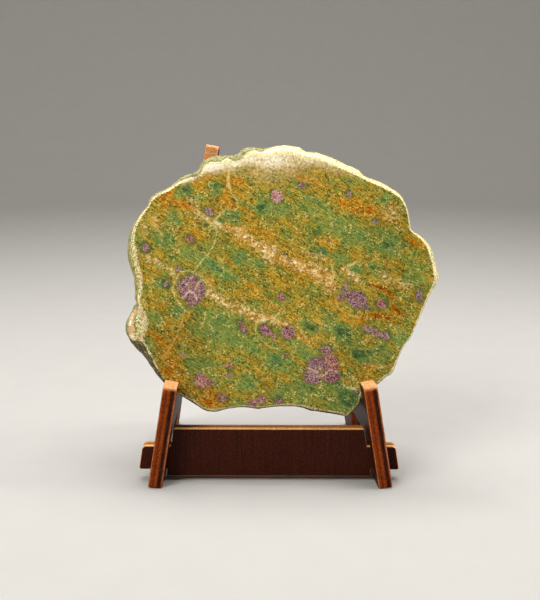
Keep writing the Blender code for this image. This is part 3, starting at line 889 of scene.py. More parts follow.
    def covers(self, rock: Rock, colour: Node) -> Node:
        """The sugary pale bands, the painted reflection of the overhead light under the top rim, and the dark
        halos.

        Args:
            rock: the fabric.
            colour: the colour so far.

        Returns:
            The colour so far.
        """
        tree, marks = rock.tree, rock.marks
        picked = cells(tree, rock.stone, self.sugar_mm, sway=rock.fine, bend=2.0)
        crystals = add(tree, "ValToRGB", {"Fac": picked.outputs[0]}, ramp=self.sugar)
        # Painted reflection: a pale cloudy haze under the top rim.
        cloudy = total(tree, -0.36, (marks["bleach"], 0.5), (rock.clouds, 0.4), (rock.fine, 0.5))
        haze = add(tree, "ValToRGB", {"Fac": cloudy}, ramp=self.haze)
        for cover, tone in (
            (Cover("pale", low=0.15, high=0.95, ragged=1.9, strength=0.9), crystals),
            (Cover("bleach", low=0.0, high=1.0, ragged=0.9, strength=0.92), haze),
            (Cover("halo", low=0.3, high=1.0, ragged=1.6, strength=0.75), self.hornblende),
        ):
            weight, mean = marks[cover.weight], cover.ragged / 2
            present = add(tree, "MapRange", {"Value": weight, "From Max": self.present})
            broken = total(tree, weight, (rock.fine, cover.ragged))
            colour = lay(tree, colour, tone, broken, start=cover.low + mean, whole=cover.high + mean,
                         share=cover.strength, only=present)
        return colour

    def rubies(self, rock: Rock, colour: Node) -> Node:
        """The ruby grains: crystals lighter and darker than their tint, fine pale cracks and a ragged edge.

        Args:
            rock: the fabric.
            colour: the colour so far.

        Returns:
            The colour so far.
        """
        tree = rock.tree
        tint = add(tree, "Attribute", attribute_name="ruby_tint").outputs["Color"]
        chance = cells(tree, rock.stone, self.ruby_mm)
        light = total(tree, 0.14, (chance.outputs[0], 1.2))
        inside = add(tree, "VectorMath", {0: tint, "Scale": light}, operation="SCALE")
        inside = lay(tree, inside, self.ruby_shade, rock.grain, start=0.45, whole=0.33, share=0.6)
        inside = lay(tree, inside, self.ruby_light, rock.grain, start=0.54, whole=0.63, share=0.75)
        cracks = cells(tree, rock.stone, self.crackle_mm, sway=rock.fine, bend=2.2, edges=True)
        inside = lay(tree, inside, self.ruby_crack, cracks, start=0.05, whole=0.0, share=0.5)
        edge = total(tree, rock.marks["ruby"], (rock.fine, 3.0))
        return lay(tree, colour, inside, edge, start=1.68, whole=1.42)

    def veins(self, rock: Rock, colour: Node) -> Node:
        """The healed cracks that run across grains, and a fainter crazing of shorter ones between them.

        Args:
            rock: the fabric.
            colour: the colour so far.

        Returns:
            The colour so far.
        """
        tree = rock.tree
        tone = lay(tree, self.vein, self.iron_vein, rock.marks["iron"], start=0.0, whole=1.0)
        tone = lay(tree, tone, self.ruby_crack, rock.marks["ruby"], start=-0.2, whole=-0.7)
        ragged = total(tree, rock.marks["vein"], (rock.fine, 1.3), (rock.grain, 0.9))
        colour = lay(tree, colour, tone, ragged, start=1.15, whole=0.97, share=0.75)
        sway = add(tree, "TexNoise", {"Vector": rock.stone, "Scale": 1 / self.bend_mm, "Detail": 3.0})
        edges = cells(tree, rock.stone, self.crazing_mm, sway=sway, bend=3.4, edges=True)
        area = add(tree, "TexNoise", {"Vector": rock.stone, "Scale": 1 / self.crazed_mm, "Detail": 2.0})
        area = add(tree, "MapRange", {"Value": area, "From Min": 0.44, "From Max": 0.60})
        return lay(tree, colour, self.straw, edges, start=0.04, whole=0.0, share=0.6, only=area)

    def rounded_rim(self, rock: Rock, colour: Node) -> Node:
        """The pale polished rim, partly the edge's own paler stone and partly a painted highlight, speckled
        with the stone's own green, and the patchwork of the knob, whose near-white patches are painted
        highlights.

        Args:
            rock: the fabric.
            colour: the colour so far.

        Returns:
            The colour so far.
        """
        tree, marks = rock.tree, rock.marks
        # Painted highlight on top of the edge's own paler stone: the rim mark sets how much of the pale tone
        # shows.
        present = add(tree, "MapRange", {"Value": marks["rim"], "From Max": self.present})
        broken = total(tree, marks["rim"], (rock.grain, 1.5), (rock.fine, 1.6))
        tone = lay(tree, self.rim, self.rim_shade, rock.grain, start=0.56, whole=0.40, share=0.8)
        colour = lay(tree, colour, tone, broken, start=1.75, whole=2.25, share=0.95, only=present)
        # The knob's patchwork, whose near-white patches are painted highlights.
        chance = cells(tree, rock.stone, self.knob_mm, sway=rock.fine, bend=3.0)
        picked = total(tree, -0.45, (chance.outputs[0], 1.0), (rock.grain, 1.0))
        patches = add(tree, "ValToRGB", {"Fac": picked}, ramp=self.knob)
        return lay(tree, colour, patches, marks["knob"], start=0.0, whole=1.0)

    def natural_rind(self, rock: Rock, colour: Node) -> Node:
        """The pitted rind behind the polish, with painted shade where it faces down.

        Args:
            rock: the fabric.
            colour: the colour so far.

        Returns:
            The colour.
        """
        tree = rock.tree
        lumps = add(tree, "TexNoise", {
            "Vector": rock.stone, "Scale": 1 / self.pit_mm, "Detail": 4.0, "Roughness": 0.7})
        # Painted shade: the rind darkens where it faces down, on the bottom and towards the left.
        crust = lay(tree, self.rind, self.rind_painted_shade, rock.marks["low"], start=0.0, whole=1.0)
        crust = lay(tree, crust, self.pits, lumps, start=0.50, whole=0.36, share=0.85)
        crust = lay(tree, crust, self.rind_spark, rock.grain, start=0.56, whole=0.68, share=0.7)
        broken = total(tree, rock.marks["rind"], (rock.fine, 0.8))
        return lay(tree, colour, crust, broken, start=0.7, whole=1.1)


@dataclass
class StoneSlab:
    """The polished slice: a flat face, a rounded polished rim, a rough side wall and a sawn back."""

    origin: Vector  # the face's middle, in metres
    lean: float = math.radians(11.8)
    thickness: float = 12.4
    edge_depth: float = 5.5  # from the face back to the widest section
    centre: tuple[float, float] = (4.5, 7.0)  # inside the outline, which is seen whole from here
    outline_steps: int = 12  # samples from one outline point to the next, and the reach of the normals
    normal_pull: float = 0.8  # how far the normals are drawn towards the middle
    face_steps: int = 240
    back_steps: int = 120  # half as many, so that the back's border meets every other point of the walls
    rim_steps: int = 11
    # The rind's section behind the widest one: depth and inset.
    rind_stations: Points = ((5.5, 0.0), (8.2, 0.3), (10.8, 0.9), (11.8, 1.5), (12.4, 2.4))
    rind_steps: int = 9
    rind_hollow: float = 0.9
    rind_fade: float = 2.0  # the hollows fade out over this depth at both ends of the rind
    lump_fade: float = 3.0  # and the rim's lumps over this depth behind the widest section
    back_inset: float = 0.6  # of the back's border
    polish_wander: float = 0.16  # how far the border of the polish wanders, as a share of the rim
    polish_fade: float = 0.14  # the share of the rim over which it fades
    highlight_side: tuple[float, float] = (0.45, 0.89)  # the way that the rim's painted highlight faces most: across and up
    painted_shade_side: tuple[float, float] = (0.3, 0.95)  # the way into the stone from where the rind's painted shade is darkest
    knob: tuple[float, float, float, float] = (-47.8, -9.8, 4.8, 1.5)  # across, up, radius and height
    crease: Points = ((-52.0, 1.0), (-47.8, -2.0), (-44.5, -5.5))
    crease_size: float = 0.9  # its depth and its half width
    slant: tuple[float, float] = (0.35, -0.2)  # how far the bands shift across and up for each mm of depth
    base_hue: float = 0.42  # place on the groundmass ramp of stone without a mark

    def stations(self) -> tuple[np.ndarray, ...]:
        """The outline read at the angles of the face grid's border, anticlockwise from the lower left.

        Returns:
            Angle, outline point, inward normal, rim width and polished share, each with 4 * face_steps rows.
        """
        reach = self.outline_steps
        samples = closed_spline(np.array(SLAB_OUTLINE[::-1], float), reach)
        tangent = np.roll(samples[:, :2], -reach, axis=0) - np.roll(samples[:, :2], reach, axis=0)
        tangent /= np.linalg.norm(tangent, axis=1, keepdims=True)
        inward = np.column_stack([-tangent[:, 1], tangent[:, 0]])
        radial = self.centre - samples[:, :2]
        inward += self.normal_pull * radial / np.linalg.norm(radial, axis=1, keepdims=True)
        inward /= np.linalg.norm(inward, axis=1, keepdims=True)
        angle = np.arctan2(*(samples[:, :2] - self.centre).T[::-1])
        x, y = self.disc(self.face_steps)
        border = self.border(self.face_steps)
        at = np.arctan2(y.ravel()[border], x.ravel()[border])
        columns = np.column_stack([samples[:, :2], inward, samples[:, 2:]])
        read = np.column_stack([np.interp(at, angle, column, period=2 * math.pi) for column in columns.T])
        return at, read[:, :2], read[:, 2:4], read[:, 4], read[:, 5]

    @staticmethod
    def disc(steps: int) -> tuple[np.ndarray, np.ndarray]:
        """A square grid drawn out to a unit disc: x = u sqrt(1 - v^2 / 2), y = v sqrt(1 - u^2 / 2)."""
        line = np.linspace(-1, 1, steps + 1)
        u, v = np.meshgrid(line, line)
        return u * np.sqrt(1 - v * v / 2), v * np.sqrt(1 - u * u / 2)

    @staticmethod
    def border(steps: int) -> np.ndarray:
        """The indices of a square grid's border, anticlockwise from its lower left corner."""
        index = np.arange((steps + 1) ** 2).reshape(steps + 1, steps + 1)
        return np.concatenate([index[0, :-1], index[:-1, -1], index[-1, :0:-1], index[:0:-1, 0]])

    def sheet(self, steps: int, ring: np.ndarray, at: np.ndarray) -> np.ndarray:
        """A flat sheet that fills a ring: centre + r (ring(angle) - centre) on the disc grid.

        Args:
            steps: cells along one side of the grid.
            ring: the border's points (across, up).
            at: the border's angles.

        Returns:
            Points (across, up), row by row.
        """
        x, y = (grid.ravel() for grid in self.disc(steps))
        angle, radius = np.arctan2(y, x), np.hypot(x, y)
        reach = np.column_stack([np.interp(angle, at, column, period=2 * math.pi) for column in ring.T])
        return self.centre + radius[:, None] * (reach - self.centre)

    def walls(
        self, outline: np.ndarray, inward: np.ndarray, rim: np.ndarray, polished: np.ndarray
    ) -> tuple[list[np.ndarray], list[np.ndarray], list[np.ndarray]]:
        """The rounded rim and the rind, ring by ring from just outside the face to the back's border.

        Round the rim, at a turn t: inset = rim (1 - sin t) and depth = edge_depth (1 - cos t). Behind it the
        rind draws in by its stations, and both are roughened by noise. The rim's pale cover is partly the
        edge's own paler stone and partly a painted highlight: it is palest where it faces the highlight side,
        and there it keeps on out to the widest section. Elsewhere it fades on the way to the widest section,
        least straight down.

        Args:
            outline: the widest section's points.
            inward: its inward normals.
            rim: how far the rim reaches in.
            polished: how much of the rim is polished.

        Returns:
            The rings' points (across, up, deep), and at each of them the rind's and the rim's weight.
        """
        rings, rinds, rims = [], [], []
        # Painted highlight: the rim's pale cover is strongest, and reaches furthest out, where the rim faces
        # the highlight side.
        facing = -inward @ np.array(self.highlight_side)
        pale = 0.75 + 0.25 * smooth_step(facing, low=-0.9, high=0.3)
        fades = 1 - 0.85 * smooth_step(facing, low=-0.3, high=0.6)
        fades *= 1 - 0.6 * smooth_step(-facing, low=0.5, high=0.9)
        for turn in np.linspace(0, math.pi / 2, self.rim_steps + 1)[1:]:
            share = math.sin(turn)
            flat = outline + inward * (rim * (1 - share))[:, None]
            ring = np.column_stack([flat, np.full(len(flat), self.edge_depth * (1 - math.cos(turn)))])
            outward = np.column_stack([-inward * share, np.full(len(flat), -math.cos(turn))])
            wander = polished + self.polish_wander * noise(ring, size=3.0, seed=5, octaves=2)
            rough = np.clip((share - wander) / self.polish_fade + 0.5, 0, 1)
            raised = (0.25 + 0.75 * rough) * share * self.lumps(ring) + self.knob_height(ring)
            rings.append(ring + outward * raised[:, None])
            rinds.append(rough)
            kept = 1 - fades * smooth_step(share, low=0.25, high=0.7)
            rims.append(smooth_step(share, low=0.0, high=0.2) * pale * kept)
        depths, insets = np.array(self.rind_stations).T
        for depth in np.linspace(self.edge_depth, self.thickness, self.rind_steps + 1)[1:]:
            ring = np.column_stack([outline, np.full(len(outline), depth)])
            start = min(1.0, (depth - self.edge_depth) / self.rind_fade)
            end = min(1.0, (self.thickness - depth) / self.rind_fade)
            hollow = self.rind_hollow * (0.5 + 0.5 * noise(ring, size=5.0, seed=6, octaves=3)) * start * end
            crumbling = 0.2 * noise(ring, size=1.2, seed=7, octaves=2)
            sunk = np.interp(depth, depths, insets) + hollow + start * crumbling
            kept = max(0.0, 1 - (depth - self.edge_depth) / self.lump_fade)
            ring[:, :2] += inward * (sunk - kept * (self.lumps(ring) + self.knob_height(ring)))[:, None]
            rings.append(ring)
            rinds.append(np.ones(len(outline)))
            rims.append(np.zeros(len(outline)))
        return rings, rinds, rims

    def lumps(self, ring: np.ndarray) -> np.ndarray:
        """How far the natural rind stands out in lumps, in mm: broad, middling and fine noise."""
        sizes = ((0.3, 4.5, 3), (0.2, 1.9, 4), (0.08, 0.9, 8))
        return sum(height * noise(ring, size, seed) for height, size, seed in sizes)

    def knob_height(self, ring: np.ndarray) -> np.ndarray:
        """How far the knob on the left rim stands out, less the crease above it, in mm."""
        across, up, radius, height = self.knob
        apart = np.hypot(ring[:, 0] - across, ring[:, 1] - up)
        groove = np.exp(-((distance_to_line(ring[:, :2], self.crease) / self.crease_size) ** 2))
        risen = height * np.exp(-((apart / radius) ** 4)) - self.crease_size * groove
        return risen * smooth_step(ring[:, 2], low=0.0, high=0.8)

    def faces(self, ring_count: int) -> list[list[int]]:
        """The faces of the whole surface: face, walls, the strip that halves the border, and back.

        Args:
            ring_count: how many rings the walls have.

        Returns:
            Corner indices, four or three to a face.
        """
        around = 4 * self.face_steps
        n, m = self.face_steps + 1, self.back_steps + 1
        front = np.arange(n * n).reshape(n, n)
        back = np.arange(m * m).reshape(m, m).T + n * n + ring_count * around
        quads = [
            np.stack([grid[:-1, :-1], grid[:-1, 1:], grid[1:, 1:], grid[1:, :-1]], -1).reshape(-1, 4)
            for grid in (front, back)
        ]
        first = n * n
        loops = [self.border(self.face_steps)]
        loops += [first + k * around + np.arange(around) for k in range(ring_count)]
        for near, far in zip(loops, loops[1:]):
            quads.append(np.stack([near, far, np.roll(far, -1), np.roll(near, -1)], -1))
        fine = loops[-1]
        even, odd, later = fine[::2], fine[1::2], np.roll(fine[::2], -1)
        coarse = first + ring_count * around + self.border(self.back_steps)
        after = np.roll(coarse, -1)
        strip = ((even, coarse, odd), (odd, coarse, after), (odd, after, later))
        triangles = np.concatenate([np.stack(corners, -1) for corners in strip])
        return np.concatenate(quads).tolist() + triangles.tolist()

    def to_world(self, stone: np.ndarray) -> np.ndarray:
        """Carries places (across, up, deep) in mm to metres in the frame, leaning the face back.

        world = origin + across X + up (0, sin lean, cos lean) + deep (0, cos lean, -sin lean).
        """
        up_axis = np.array([0, math.sin(self.lean), math.cos(self.lean)])
        deep_axis = np.array([0, math.cos(self.lean), -math.sin(self.lean)])
        moved = stone[:, :1] * np.array([1.0, 0, 0]) + stone[:, 1:2] * up_axis + stone[:, 2:] * deep_axis
        return np.array(self.origin) + MM * moved

    def marks(self, stone: np.ndarray) -> dict[str, np.ndarray]:
        """What each place of the surface is made of.

        The places are first shifted by noise, so that no mark keeps a ruled edge, and slid a little with
        depth, so that the bands run through the stone at a slant. Where marks of one mineral meet, what they
        leave clear is multiplied. Iron hardly stains clear green zoisite.

        Args:
            stone: places (across, up, deep).

        Returns:
            One array for each attribute that the finish reads.
        """
        count = len(stone)
        slid = stone + stone[:, 2:] * np.array([*self.slant, 0])
        wide, narrow = (
            np.column_stack([noise(stone, size, seed + k, octaves=2) for k in range(2)] + [np.zeros(count)])
            for size, seed in ((3.2, 10), (1.3, 20))
        )
        drifted, bent, traced = slid + 0.6 * wide, stone + 0.3 * narrow, (slid + 0.22 * narrow)[:, :2]
        weight = {}
        for mineral in Mineral:
            clear = np.ones(count)
            for kind, rows in ((Patch, PATCHES[mineral]), (Band, BANDS[mineral])):
                for row in rows:
                    clear *= 1 - kind(*row).weight(drifted)
            weight[mineral] = 1 - clear
        covers = (Mineral.PALE, Mineral.BLEACH, Mineral.SHADE)
        made = {mineral.name.lower(): weight[mineral] for mineral in covers}
        made["calm"] = np.maximum(weight[Mineral.GREEN], weight[Mineral.DARK])
        for stain in (Mineral.OCHRE, Mineral.RUST):
            weight[stain] *= 1 - 0.85 * made["calm"]
        made["hue"] = self.base_hue + sum(mineral.value * weight[mineral] for mineral in Mineral)
        nearest, halo = np.full(count, 9.0), np.zeros(count)  # 9 mm is further than any edge reaches
        tint = np.tile(linear(Tint.MAUVE.value), (count, 1))
        for ruby in RUBIES:
            outside = ruby.distance(bent)
            closer = outside < nearest
            nearest = np.where(closer, outside, nearest)
            tint[closer | (outside < 0)] = linear(ruby.tint.value)
            halo = np.maximum(halo, ruby.halo * smooth_step(-outside, low=-1.9, high=-0.3))
        crack, iron = np.full(count, 5.0), np.zeros(count)
        for width, stained, line in VEINS:
            outside = distance_to_line(traced, line) - width / 2
            closer = outside < crack
            crack, iron = np.where(closer, outside, crack), np.where(closer, stained, iron)
        return made | {"ruby": nearest, "ruby_tint": tint, "halo": halo, "vein": crack, "iron": iron}

    def build(self, material: Material) -> Object:
        """Makes the stone as one closed mesh.

        Args:
            material: its finish.

        Returns:
            The piece.
        """
        at, outline, inward, rim, polished = self.stations()
        border = outline + inward * rim[:, None]
        deeper = ((0, 0), (0, 1))  # adds a column for the depth
        front = np.pad(self.sheet(self.face_steps, border, at), deeper)
        rings, rinds, rims = self.walls(outline, inward, rim, polished)
        inner = rings[-1][::2, :2] + self.back_inset * inward[::2]
        back = np.pad(self.sheet(self.back_steps, inner, at[::2]), deeper, constant_values=self.thickness)
        stone = np.concatenate([front, *rings, back])
        mesh = bpy.data.meshes.new("ruby_zoisite_stone")
        mesh.from_pydata(self.to_world(stone).tolist(), [], self.faces(len(rings)))
        mesh.shade_smooth()
        across, up, radius, _ = self.knob
        apart = np.hypot(stone[:, 0] - across, stone[:, 1] - up)
        knob = 0.97 * np.exp(-((apart / (1.4 * radius)) ** 6)) * smooth_step(stone[:, 2], low=0.0, high=0.1)
        knob *= stone[:, 2] < self.edge_depth + self.lump_fade
        # Where the rind gets its painted shade: darkest where it faces down, towards the lower left.
        low = np.tile(smooth_step(inward @ np.array(self.painted_shade_side), low=0.3, high=0.75), len(rings))
        on_walls = {"rind": np.concatenate(rinds), "rim": np.concatenate(rims), "low": low}
        made = self.marks(stone) | {"stone": stone, "knob": knob}
        made |= {name: np.pad(values, (len(front), len(back))) for name, values in on_walls.items()}
        for name, values in made.items():
            set_attribute(mesh, name, values)
        return place("ruby_zoisite_stone", mesh, material, "ruby_zoisite_slab")


# --- The easel -------------------------------------------------------------------------------


@dataclass(frozen=True)
class StainedPlywood:
    """Laser-cut 5 mm plywood under a dark walnut stain, sanded at its arrises.

    The face veneers take the stain deep brown. On the cut edges each ply takes it in its own way: long grain
    stays orange and end grain goes dark, and the sanded arrises show paler wood. The upward edges and the
    upper ends carry a painted highlight.
    """

    name: str
    plies: Ramp  # from the -normal face to the +normal one, as shares of the thickness
    top_light_share: float = 0.75  # how strong the painted highlight on the upward edges and the upper ends is
    scorch: float = 0.5  # how far the laser darkened the cut edges
    veneer: str = "#3d1609"
    veneer_dark: str = "#321207"
    arris: str = "#b8703c"
    scorched: str = "#4a200c"
    # The tone of the painted highlight on upward edges and upper ends.
    rubbed: str = "#e6a66c"
    thickness_mm: float = 5.0
    grain_mm: float = 0.6  # across the grain
    grain_long_mm: float = 16.7  # along it
    speckle_mm: float = 0.6
    blotch_mm: float = 5.0
    relief_mm: float = 0.12
    gloss: float = 0.5
    sheen: float = 0.08

    def material(self) -> Material:
        """The finish, read from the board's own axes: along, up and through its thickness.

        Returns:
            The material.
        """
        made, tree, shader = new_material(self.name)
        half = self.thickness_mm / 2
        board = add(tree, "Attribute", attribute_name="board").outputs["Vector"]
        through = add(tree, "SeparateXYZ", {"Vector": board}).outputs[2]
        depth = add(tree, "Math", {0: through}, operation="ABSOLUTE")
        fine = 1 / self.grain_mm
        axes = add(tree, "Mapping", {"Vector": board, "Scale": (fine, 1 / self.grain_long_mm, fine)})
        grain = add(tree, "TexNoise", {"Vector": axes, "Scale": 1.0, "Detail": 5.0, "Roughness": 0.6})
        blotch, speckle = (
            add(tree, "TexNoise", {"Vector": board, "Scale": 1 / size, "Detail": detail, "Roughness": rough})
            for size, detail, rough in ((self.blotch_mm, 4.0, 0.65), (self.speckle_mm, 3.0, 0.7))
        )
        # The plies across a cut edge: their borders wander a little.
        share = add(tree, "MapRange", {"Value": through, "From Min": -half, "From Max": half})
        wander = total(tree, -0.05, (share, 1.0), (blotch, 0.1))
        cut = add(tree, "ValToRGB", {"Fac": wander}, ramp=self.plies)
        cut = lay(tree, cut, self.scorched, blotch, start=0.55, whole=0.35, share=self.scorch)
        worn = total(tree, depth, (blotch, 0.5))
        cut = lay(tree, cut, self.arris, worn, start=half - 0.16, whole=half + 0.1, share=0.9)
        # Painted highlight on the upward cut edges and the upright's top.
        rubbed = add(tree, "Attribute", attribute_name="rubbed").outputs["Fac"]
        cut = lay(tree, cut, self.rubbed, rubbed, start=0.0, whole=1.0, share=self.top_light_share)
        face = lay(tree, self.veneer_dark, self.veneer, grain, start=0.35, whole=0.65)
        colour = lay(tree, cut, face, depth, start=half - 0.10, whole=half - 0.02)
        light = add(tree, "MapRange", {
            "Value": grain, "From Min": 0.25, "From Max": 0.75, "To Min": 0.92, "To Max": 1.08})
        light = total(tree, -1.6, (light, 1.0), (speckle, 3.2))
        colour = add(tree, "VectorMath", {0: colour, "Scale": light}, operation="SCALE")
        bump = add(tree, "Bump", {"Height": grain, "Strength": 0.35, "Distance": self.relief_mm * MM})
        tree.links.new(colour.outputs[0], shader.inputs["Base Color"])
        tree.links.new(bump.outputs[0], shader.inputs["Normal"])
        shader.inputs["Roughness"].default_value = self.gloss
        shader.inputs["Specular IOR Level"].default_value = self.sheen
        return made


@dataclass
class Board:
    """One flat plywood piece: the node's own solid with its arrises rounded."""

    node: str
    arris_round: float = 0.12
    sharpest_arris: float = math.radians(25)  # edges that turn by less stay as they are
    merge: float = 0.002  # points closer than this are one
    flat: float = math.radians(0.5)  # faces that differ by less are one
    lit_heights: tuple[float, float] = (85.0, 112.0)  # a painted highlight rises between these heights, towards the upright's top

    def rounded(self) -> Mesh:
        """A merged copy of the node's mesh, with its flat faces whole and its chamfers rounded.

        Returns:
            The mesh.
        """
        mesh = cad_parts[self.node].data.copy()
        shape = bmesh.new()
        shape.from_mesh(mesh)
        bmesh.ops.remove_doubles(shape, verts=shape.verts, dist=self.merge * MM)
        bmesh.ops.dissolve_limit(shape, angle_limit=self.flat, verts=shape.verts, edges=shape.edges)
        shape.to_mesh(mesh)
        shape.free()
        mesh.name = self.node + "_board"
        carrier = bpy.data.objects.new("board_in_work", mesh)
        bpy.context.scene.collection.objects.link(carrier)
        bevel = carrier.modifiers.new("arris", "BEVEL")
        bevel.width = self.arris_round * MM
        bevel.segments = 2
        bevel.limit_method = "ANGLE"
        bevel.angle_limit = self.sharpest_arris
        bevel.harden_normals = True
        graph = bpy.context.evaluated_depsgraph_get()
        finished = bpy.data.meshes.new_from_object(carrier.evaluated_get(graph))
        bpy.data.objects.remove(carrier)
        return finished

    @staticmethod
    def axes(mesh: Mesh) -> np.ndarray:
        """The board's own axes as rows: along, up, and the normal of its largest face."""
        count = len(mesh.polygons)
        normals, areas = np.empty(count * 3), np.empty(count)
        mesh.polygons.foreach_get("normal", normals)
        mesh.polygons.foreach_get("area", areas)
        normals = normals.reshape(-1, 3)
        normal = normals[areas.argmax()]
        normal = normal * (1 if normal[np.abs(normal).argmax()] > 0 else -1)
        up = np.array([0, 0, 1.0]) - normal[2] * normal
        up /= np.linalg.norm(up)
        return np.stack([np.cross(up, normal), up, normal])

    def build(self, material: Material) -> Object:
        """Makes the board and stores its own axes, in mm from its middle, for the finish.

        Args:
            material: its finish.

        Returns:
            The piece.
        """
        mesh = self.rounded()
        points, normals = np.empty((2, len(mesh.vertices) * 3))
        mesh.vertices.foreach_get("co", points)
        mesh.vertices.foreach_get("normal", normals)
        points, normals = points.reshape(-1, 3) / MM, normals.reshape(-1, 3)
        local = points @ self.axes(mesh).T
        set_attribute(mesh, "board", local - (local.min(axis=0) + local.max(axis=0)) / 2)
        # Painted highlight: upward faces, and the upright's upper end, get a paler tone.
        rubbed = smooth_step(normals[:, 2], low=0.3, high=0.9)
        set_attribute(mesh, "rubbed", np.maximum(rubbed, 0.7 * smooth_step(points[:, 2], *self.lit_heights)))
        return place(self.node + "_board", mesh, material, self.node)


# --- Stage, light and camera -----------------------------------------------------------------


@dataclass(frozen=True)
class SoftBox:
    """A rectangular soft box: where it hangs, its width and height, its watts and what it faces."""

    name: str
    at: tuple[float, float, float]
    size: tuple[float, float]
    watts: float
    towards: tuple[float, float, float] = (0.0, 0.0, 0.065)  # the object's middle

    def hang(self) -> None:
        """Puts it in the scene."""
        light = bpy.data.lights.new(self.name, "AREA")
        light.shape = "RECTANGLE"
        light.size, light.size_y = self.size
        light.energy = self.watts
        box = bpy.data.objects.new(self.name, light)
        box.location = self.at
        box.rotation_euler = (Vector(self.towards) - Vector(self.at)).to_track_quat("-Z", "Y").to_euler()
        bpy.context.scene.collection.objects.link(box)


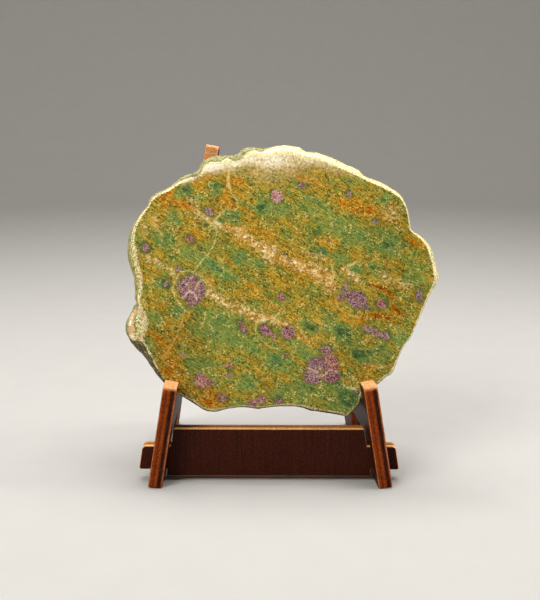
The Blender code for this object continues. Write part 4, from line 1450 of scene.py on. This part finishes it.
@dataclass
class Studio:
    """A pale paper sweep, soft boxes and the camera, in metres and degrees."""

    floor: float = 1.0  # radius of the flat floor
    curve: float = 0.6  # radius of the bend between floor and wall
    top: float = 1.7  # height of the wall
    paper: str = "#a6a39e"
    paper_shade: str = "#a19e99"
    paper_rough: float = 0.9
    cloud: float = 60.0  # clouds of fibres to a metre of paper
    room: str = "#c8c4bc"
    room_light: float = 0.25
    boxes: tuple[SoftBox, ...] = (
        SoftBox("overhead_box", (0.03, 0.06, 0.62), (0.50, 0.30), 5.0),
        SoftBox("key_box", (-0.42, -0.50, 0.62), (0.40, 0.40), 6.0),
        SoftBox("left_strip", (-0.55, 0.05, 0.16), (0.12, 0.40), 0.8),
        SoftBox("right_strip", (0.55, -0.02, 0.18), (0.12, 0.40), 2.4),
        SoftBox("wall_wash", (0.0, 0.5, 1.3), (1.2, 0.4), 9.0, towards=(0.0, 1.3, 0.2)),
    )
    camera_at: tuple[float, float, float] = (2.55, -301.41, 131.92)  # mm, from the easel's middle
    pitch: float = 11.78  # degrees below level
    yaw: float = 0.4
    lens: float = 54.0

    def sweep(self) -> Object:
        """The floor, which curves up into a wall all round: a profile (r, z) turned about the upright axis.

        The profile runs from the middle to the floor's radius, then round an arc (floor + curve sin a,
        curve (1 - cos a)), then straight up.

        Returns:
            Nothing; the stage piece is marked as backdrop and left in the scene.
        """
        turn = np.linspace(0, math.pi / 2, 25)
        arc = np.column_stack([self.floor + self.curve * np.sin(turn), self.curve * (1 - np.cos(turn))])
        profile = np.concatenate([[(0.004, 0.0)], arc, [(self.floor + self.curve, self.top)]])
        angle = np.linspace(0, 2 * math.pi, 97)[:-1]
        grid = np.stack([np.outer(profile[:, 0], np.cos(angle)), np.outer(profile[:, 0], np.sin(angle)),
                         np.outer(profile[:, 1], np.ones_like(angle))], -1)
        index = np.arange(grid.shape[0] * grid.shape[1]).reshape(grid.shape[:2])
        near, far = index[:-1], index[1:]
        quads = np.stack([near, far, np.roll(far, -1, axis=1), np.roll(near, -1, axis=1)], -1).reshape(-1, 4)
        mesh = bpy.data.meshes.new("paper_sweep")
        mesh.from_pydata(grid.reshape(-1, 3).tolist(), [], quads.tolist() + [index[0].tolist()])
        mesh.shade_smooth()
        # Matt backdrop paper: no sheen, with only the faintest cloud of fibres.
        made, tree, shader = new_material("backdrop_paper")
        room = add(tree, "TexCoord").outputs["Object"]
        cloud = add(tree, "TexNoise", {"Vector": room, "Scale": self.cloud, "Detail": 4.0})
        colour = add(tree, "Mix", {"Factor": cloud, "A": self.paper_shade, "B": self.paper}, data_type="RGBA")
        tree.links.new(colour.outputs[2], shader.inputs["Base Color"])
        shader.inputs["Roughness"].default_value = self.paper_rough
        mesh.materials.append(made)
        floor = bpy.data.objects.new("paper_sweep", mesh)
        bpy.context.scene.collection.objects.link(floor)
        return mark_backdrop(floor)

    def light(self) -> None:
        """Hangs the soft boxes round the object and dims the room."""
        for box in self.boxes:
            box.hang()
        world = bpy.data.worlds.new("dim_room")
        world.use_nodes = True
        sky = world.node_tree.nodes["Background"]
        sky.inputs["Color"].default_value = linear(self.room)
        sky.inputs["Strength"].default_value = self.room_light
        bpy.context.scene.world = world

    def camera(self, easel: Vector) -> None:
        """Sets the camera.

        Args:
            easel: the easel's middle on the tabletop, in metres.
        """
        made = bpy.data.cameras.new("camera")
        made.lens = self.lens
        made.clip_start = 0.01
        camera = bpy.data.objects.new("camera", made)
        camera.location = easel + MM * Vector(self.camera_at)
        camera.rotation_euler = (math.radians(90 - self.pitch), 0, math.radians(self.yaw))
        bpy.context.scene.collection.objects.link(camera)
        bpy.context.scene.camera = camera

    def build(self, easel: Vector) -> None:
        """Makes the whole studio round an object whose easel stands at this point."""
        self.sweep()
        self.light()
        self.camera(easel)
        bpy.context.scene.view_settings.view_transform = "Standard"


# --- The whole -------------------------------------------------------------------------------

BOARD_FRONT_MM = 7.5  # the cross bar's front, behind the front of the legs
FACE_FOOT_MM = 1.64  # where the plane of the polished face would meet the tabletop
FACE_MIDDLE_MM = 65.85  # how high the face's middle stands

LEG_PLIES: Ramp = (
    (0.0, "#843609"), (0.18, "#843609"), (0.30, "#642405"), (0.46, "#903f0c"), (0.58, "#7c3208"),
    (0.64, "#2b0f05"), (0.84, "#260c05"), (0.90, "#9a4c20"),
)
BAR_PLIES: Ramp = (
    (0.0, "#ffd08a"), (0.34, "#f6b45e"), (0.42, "#5a2409"), (0.54, "#62280a"), (0.62, "#c87630"),
    (1.0, "#b4642a"),
)


def easel_middle() -> Vector:
    """The easel's middle on the tabletop, from the cross bar, which stands square at a known setback."""
    low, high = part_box("cross_bar")
    return Vector(((low.x + high.x) / 2, low.y - BOARD_FRONT_MM * MM, 0))


def main() -> None:
    """Builds the dressed object and its studio."""
    logging.basicConfig(level=logging.INFO, format="%(name)s: %(message)s")
    easel = easel_middle()
    slab = StoneSlab(origin=easel)
    face = FACE_FOOT_MM + FACE_MIDDLE_MM * math.tan(slab.lean)
    slab.origin = easel + MM * Vector((0, face, FACE_MIDDLE_MM))
    slab.build(PolishedZoisite().material())
    leg_finish = StainedPlywood("stained_plywood_plates", LEG_PLIES).material()
    for side in ("left", "right"):
        Board(side + "_side_plate").build(leg_finish)
    bar_finish = StainedPlywood("stained_plywood_bar", BAR_PLIES, top_light_share=0.2, scorch=0.25).material()
    Board("cross_bar").build(bar_finish)
    Studio().build(easel)


if __name__ == "__main__":
    main()
